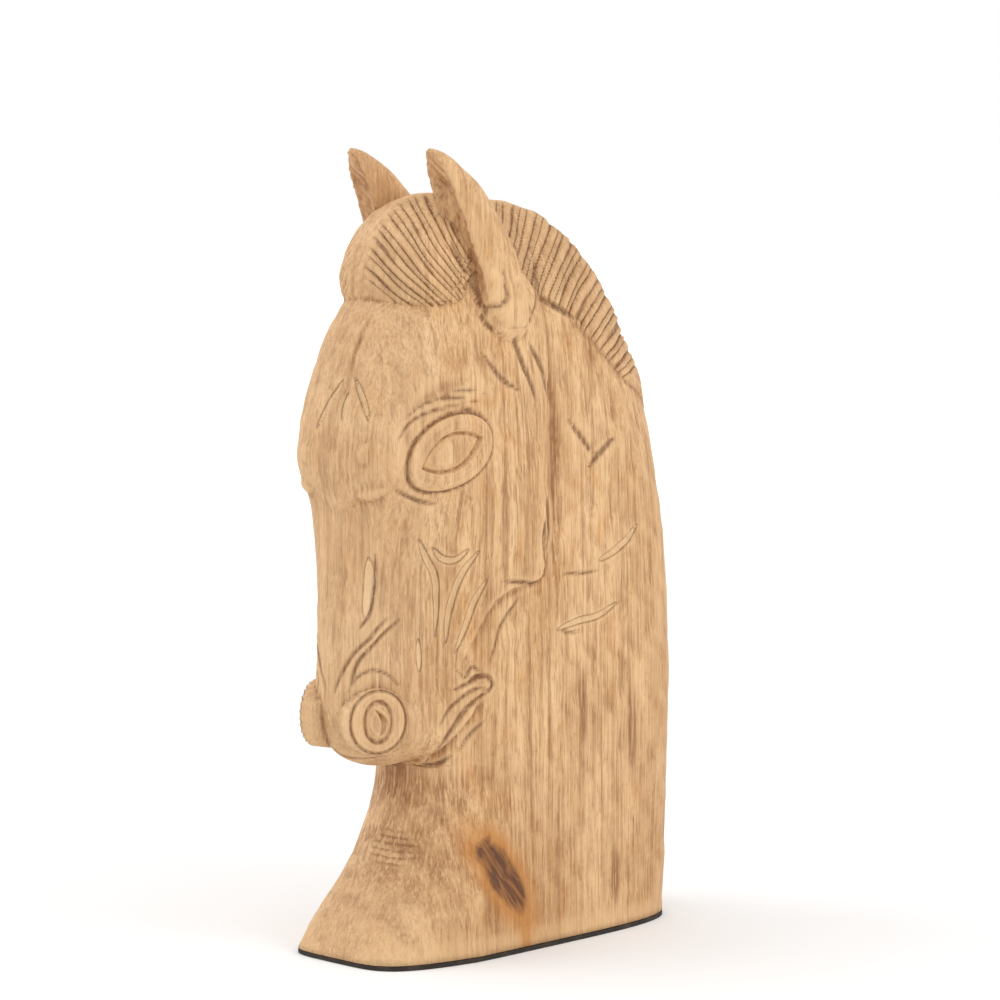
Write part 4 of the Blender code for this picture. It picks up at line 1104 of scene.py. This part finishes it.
# The knot, low on the left side of the neck, and the stain that runs down from it:
# centre and half sizes in metres, and the knot's turn in degrees
KNOT_PLACE, KNOT_SIZE, KNOT_TURN = (0.036, -0.0295, 0.0335), (0.020, 0.0080, 0.021), 33.0
STAIN_PLACE, STAIN_SIZE = (0.036, -0.0175, 0.012), (0.020, 0.0050, 0.019)
KNOT_CORE, KNOT_HALO = linear(100, 64, 42), linear(188, 122, 54)
# Brown streaks on the left side of the neck: centre and half sizes in metres
NECK_STREAKS = [((0.036, 0.052, 0.092), (0.020, 0.0040, 0.026)),
                ((0.036, 0.041, 0.026), (0.020, 0.0034, 0.015)),
                ((0.036, 0.020, 0.104), (0.020, 0.0028, 0.019))]


def knotted(tree, place, colour, level):
    """Colour with the streaks, the knot's orange halo and stain, and its dark core,
    each a smooth fall with the distance from its centre."""
    centred = add(tree, "ShaderNodeVectorMath", {0: place, 1: KNOT_PLACE}, operation="SUBTRACT")
    turned = add(tree, "ShaderNodeVectorRotate", {"Vector": centred.outputs[0],
                                                  "Angle": math.radians(-KNOT_TURN)},
                 rotation_type="X_AXIS")
    shaped = add(tree, "ShaderNodeVectorMath", {0: turned.outputs[0], 1: KNOT_SIZE},
                 operation="DIVIDE").outputs[0]
    away = add(tree, "ShaderNodeVectorMath", {0: shaped}, operation="LENGTH").outputs["Value"]
    ragged = times(tree, reckon(tree, "SUBTRACT", level["stains"], 0.5), 1.1)
    away = reckon(tree, "ADD", away, ragged)
    drawn_out = add(tree, "ShaderNodeMapping", {"Vector": shaped, "Scale": (0.5, 1.7, 0.7)})
    swirl = add(tree, "ShaderNodeTexNoise", {"Vector": drawn_out.outputs[0], "Scale": 2.4,
                                             "Detail": 5.0, "Distortion": 0.8}).outputs["Fac"]
    halo = times(tree, between(tree, away, 2.0, 0.9), 0.75)
    below = away_from(tree, place, STAIN_PLACE, STAIN_SIZE)
    halo = reckon(tree, "MAXIMUM", halo, between(tree, below, 1.15, 0.35, 0.0, 0.7))
    for centre, half_sizes in NECK_STREAKS:
        near = between(tree, away_from(tree, place, centre, half_sizes), 1.2, 0.4)
        broken = between(tree, level["streaks"], 0.38, 0.56, 0.35, 1.0)
        colour = blend(tree, times(tree, near, broken, 0.75), colour, WASH_AND_SHADE)
    colour = blend(tree, halo, colour, KNOT_HALO)
    core = times(tree, between(tree, away, 1.15, 0.75), between(tree, swirl, 0.36, 0.60, 0.55, 1.0))
    return blend(tree, core, colour, KNOT_CORE)


# The rasp's scratches on the front of the neck: centre and half sizes in metres
RASP_PLACE, RASP_SIZE = (0.006, -0.065, 0.048), (0.014, 0.014, 0.010)


def rasp_scratches(tree, place, mottle):
    """Mask of short level scratches: crests of a bent wave up z, kept near the place."""
    within = away_from(tree, place, RASP_PLACE, RASP_SIZE)
    teeth = add(tree, "ShaderNodeTexWave", {"Vector": place, "Scale": 115.0, "Distortion": 2.5,
                                            "Detail": 3.0, "Detail Scale": 0.6},
                bands_direction="Z").outputs["Fac"]
    return times(tree, between(tree, within, 1.1, 0.6), between(tree, teeth, 0.62, 0.9),
                 between(tree, mottle, 0.4, 0.55))


def carved_wood():
    """The tones in turn, among them painted shade on the back of the neck and painted
    light on the front of the face, then the hair's tint, wash and painted shade in the
    ears' hollows and the cuts, rubbed edges with a painted highlight, fresh wood with
    painted light in the gouge strokes, dark lines of wash and painted shade, knot and
    scratches. The bump is the sum of grain and lines."""
    material = bpy.data.materials.new("carved wood")
    material.use_nodes = True
    tree = material.node_tree
    shader = tree.nodes["Principled BSDF"]
    place = tree.nodes.new("ShaderNodeTexCoord").outputs["Object"]
    level = {name: grain(tree, place, *sizes) for name, sizes in NOISES.items()}
    level["y"] = add(tree, "ShaderNodeSeparateXYZ", {"Vector": place}).outputs["Y"]
    mottle, streaks = level["mottle"], level["streaks"]

    colour = PALE
    for name, starts, full, share, tone in TONES:
        colour = blend(tree, between(tree, level[name], starts, full, 0.0, share), colour, tone)
    colour = blend(tree, times(tree, mark(tree, "hair"), HAIR_SHARE), colour, HAIR)
    # The ears' hollows and the forelock's rough front darkened: wash and painted shade
    colour = blend(tree, times(tree, mark(tree, "hollow"), HOLLOW_SHARE), colour, HAIR)

    # Brown wash and painted shade in the cuts and hollows, kept mostly out of the gouges
    patchy = reckon(tree, "ADD", streaks, times(tree, mottle, 0.5))
    broken = between(tree, patchy, 0.6, 0.88, 0.3, 1.0)
    outside_cut = between(tree, mark(tree, "cut_edge"), -0.4, 0.3, 0.15, 1.0)
    washed_and_shaded = times(tree, mark(tree, "recess"), broken, outside_cut, WASH_AND_SHADE_SHARE)
    colour = blend(tree, washed_and_shaded, colour, WASH_AND_SHADE)
    colour = blend(tree, between(tree, mottle, 0.58, 0.74, 0.0, 0.22), colour, WASH_AND_SHADE)
    # Rubbed edges made paler: worn wash and painted highlight
    colour = blend(tree, times(tree, mark(tree, "ridge"), RUBBED_AND_LIT_SHARE), colour, PALE)
    # Gouge troughs made paler: fresh wood and painted light
    trough = between(tree, mark(tree, "cut_edge"), -0.2, -0.7, 0.0, 0.62)
    colour = blend(tree, trough, colour, FRESH_AND_LIT)

    # Dark lines in the cuts and the hair's V cuts: wash and painted shade
    locks, dark_lines = dark_cut_lines(tree, mottle)
    colour = blend(tree, times(tree, dark_lines, LINE_SHARE), colour, CUT_LINE)
    colour = knotted(tree, place, colour, level)
    scratches = rasp_scratches(tree, place, mottle)
    colour = blend(tree, times(tree, scratches, 0.5), colour, WASH_AND_SHADE)
    tree.links.new(colour, shader.inputs["Base Color"])
    dull = between(tree, mottle, 0.3, 0.7, 0.56, 0.72)
    tree.links.new(dull, shader.inputs["Roughness"])
    shader.inputs["Specular IOR Level"].default_value = 0.3

    walls = between(tree, mark(tree, "cut_edge"), 0.25, -0.45)
    vee = between(tree, mark(tree, "crease"), 0.9, -0.3)
    relief = times(tree, streaks, 0.7)
    for height, weight in ((level["hairs"], 0.5), (mottle, 0.8), (level["flecks"], 0.8),
                           (walls, -1.2), (vee, -1.2), (locks, -1.0), (scratches, -1.0)):
        relief = reckon(tree, "ADD", relief, times(tree, height, weight))
    bump = add(tree, "ShaderNodeBump", {"Height": relief, "Strength": RELIEF_STRENGTH,
                                        "Distance": RELIEF_HEIGHT})
    tree.links.new(bump.outputs["Normal"], shader.inputs["Normal"])
    return material


mesh.materials.clear()
mesh.materials.append(carved_wood())
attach(carving, "root")
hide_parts("horse_head")


# The pad
# A thin dark sheet glued under the neck, cut to the neck's own outline and worn pale
# in places.
PAD_DARK, PAD_WORN = linear(38, 31, 25), linear(66, 55, 44)


def pad_sheet():
    """Dark fibre sheet: fine noise for its crumb and a slow one for wear."""
    material = bpy.data.materials.new("pad sheet")
    material.use_nodes = True
    tree = material.node_tree
    shader = tree.nodes["Principled BSDF"]
    place = tree.nodes.new("ShaderNodeTexCoord").outputs["Object"]
    crumb = grain(tree, place, 0.7, 0.7, 3.0, 0.0)
    wear = grain(tree, place, 9.0, 9.0, 2.0, 0.0)
    colour = blend(tree, between(tree, wear, 0.45, 0.7), PAD_DARK, PAD_WORN)
    colour = blend(tree, between(tree, crumb, 0.35, 0.7, 0.0, 0.4), colour, PAD_WORN)
    tree.links.new(colour, shader.inputs["Base Color"])
    shader.inputs["Roughness"].default_value = 0.85
    bump = add(tree, "ShaderNodeBump", {"Height": crumb, "Strength": 0.4, "Distance": 0.0003})
    tree.links.new(bump.outputs["Normal"], shader.inputs["Normal"])
    return material


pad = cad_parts["base_pad"]
pad.data.materials.clear()
pad.data.materials.append(pad_sheet())


# Floor and light
# A white floor that runs into a white room, one broad soft lamp high on the left
# and a weaker one on the right, so the shadows stay faint.

# Metres. The floor glows more the further it lies from the bust, up to the room's
# own white, so that no edge shows behind it.
FLOOR_HALF = 9.0
FLOOR_WHITE = 0.84
GLOW_FROM, GLOW_TO = 0.7, 2.6
GLOW_NEAR, GLOW_FAR = 0.06, 0.40
# Name, place, size, power in watts
LAMPS = [("key lamp", (-1.1, -1.0, 1.7), 1.7, 12.0), ("side lamp", (1.5, 0.3, 1.2), 0.8, 7.0)]
AIM = (0.0, 0.0, 0.17)
ROOM_LIGHT = 1.0

floor_mesh = bpy.data.meshes.new("floor")
floor_corners = [(x * FLOOR_HALF, y * FLOOR_HALF, 0.0)
                 for x, y in ((-1, -1), (1, -1), (1, 1), (-1, 1))]
floor_mesh.from_pydata(floor_corners, [], [(0, 1, 2, 3)])
floor = bpy.data.objects.new("floor", floor_mesh)
bpy.context.scene.collection.objects.link(floor)
floor_paint = bpy.data.materials.new("white floor")
floor_paint.use_nodes = True
floor_shader = floor_paint.node_tree.nodes["Principled BSDF"]
floor_shader.inputs["Base Color"].default_value = (FLOOR_WHITE, FLOOR_WHITE, FLOOR_WHITE, 1.0)
floor_shader.inputs["Roughness"].default_value = 0.9
floor_shader.inputs["Specular IOR Level"].default_value = 0.0
floor_shader.inputs["Emission Color"].default_value = (1.0, 1.0, 1.0, 1.0)
floor_tree = floor_paint.node_tree
floor_place = floor_tree.nodes.new("ShaderNodeTexCoord").outputs["Object"]
out = add(floor_tree, "ShaderNodeVectorMath", {0: floor_place}, operation="LENGTH").outputs["Value"]
glow = between(floor_tree, out, GLOW_FROM, GLOW_TO, GLOW_NEAR, GLOW_FAR)
floor_tree.links.new(glow, floor_shader.inputs["Emission Strength"])
floor_mesh.materials.append(floor_paint)

for name, spot, size, power in LAMPS:
    lamp = bpy.data.lights.new(name, "AREA")
    lamp.shape = "DISK"
    lamp.size = size
    lamp.energy = power
    holder = bpy.data.objects.new(name, lamp)
    holder.location = spot
    holder.rotation_euler = (Vector(AIM) - Vector(spot)).to_track_quat("-Z", "Y").to_euler()
    bpy.context.scene.collection.objects.link(holder)

room = bpy.data.worlds.new("white room")
bpy.context.scene.world = room
room.use_nodes = True
room_light = room.node_tree.nodes["Background"]
room_light.inputs["Color"].default_value = (1.0, 1.0, 1.0, 1.0)
room_light.inputs["Strength"].default_value = ROOM_LIGHT
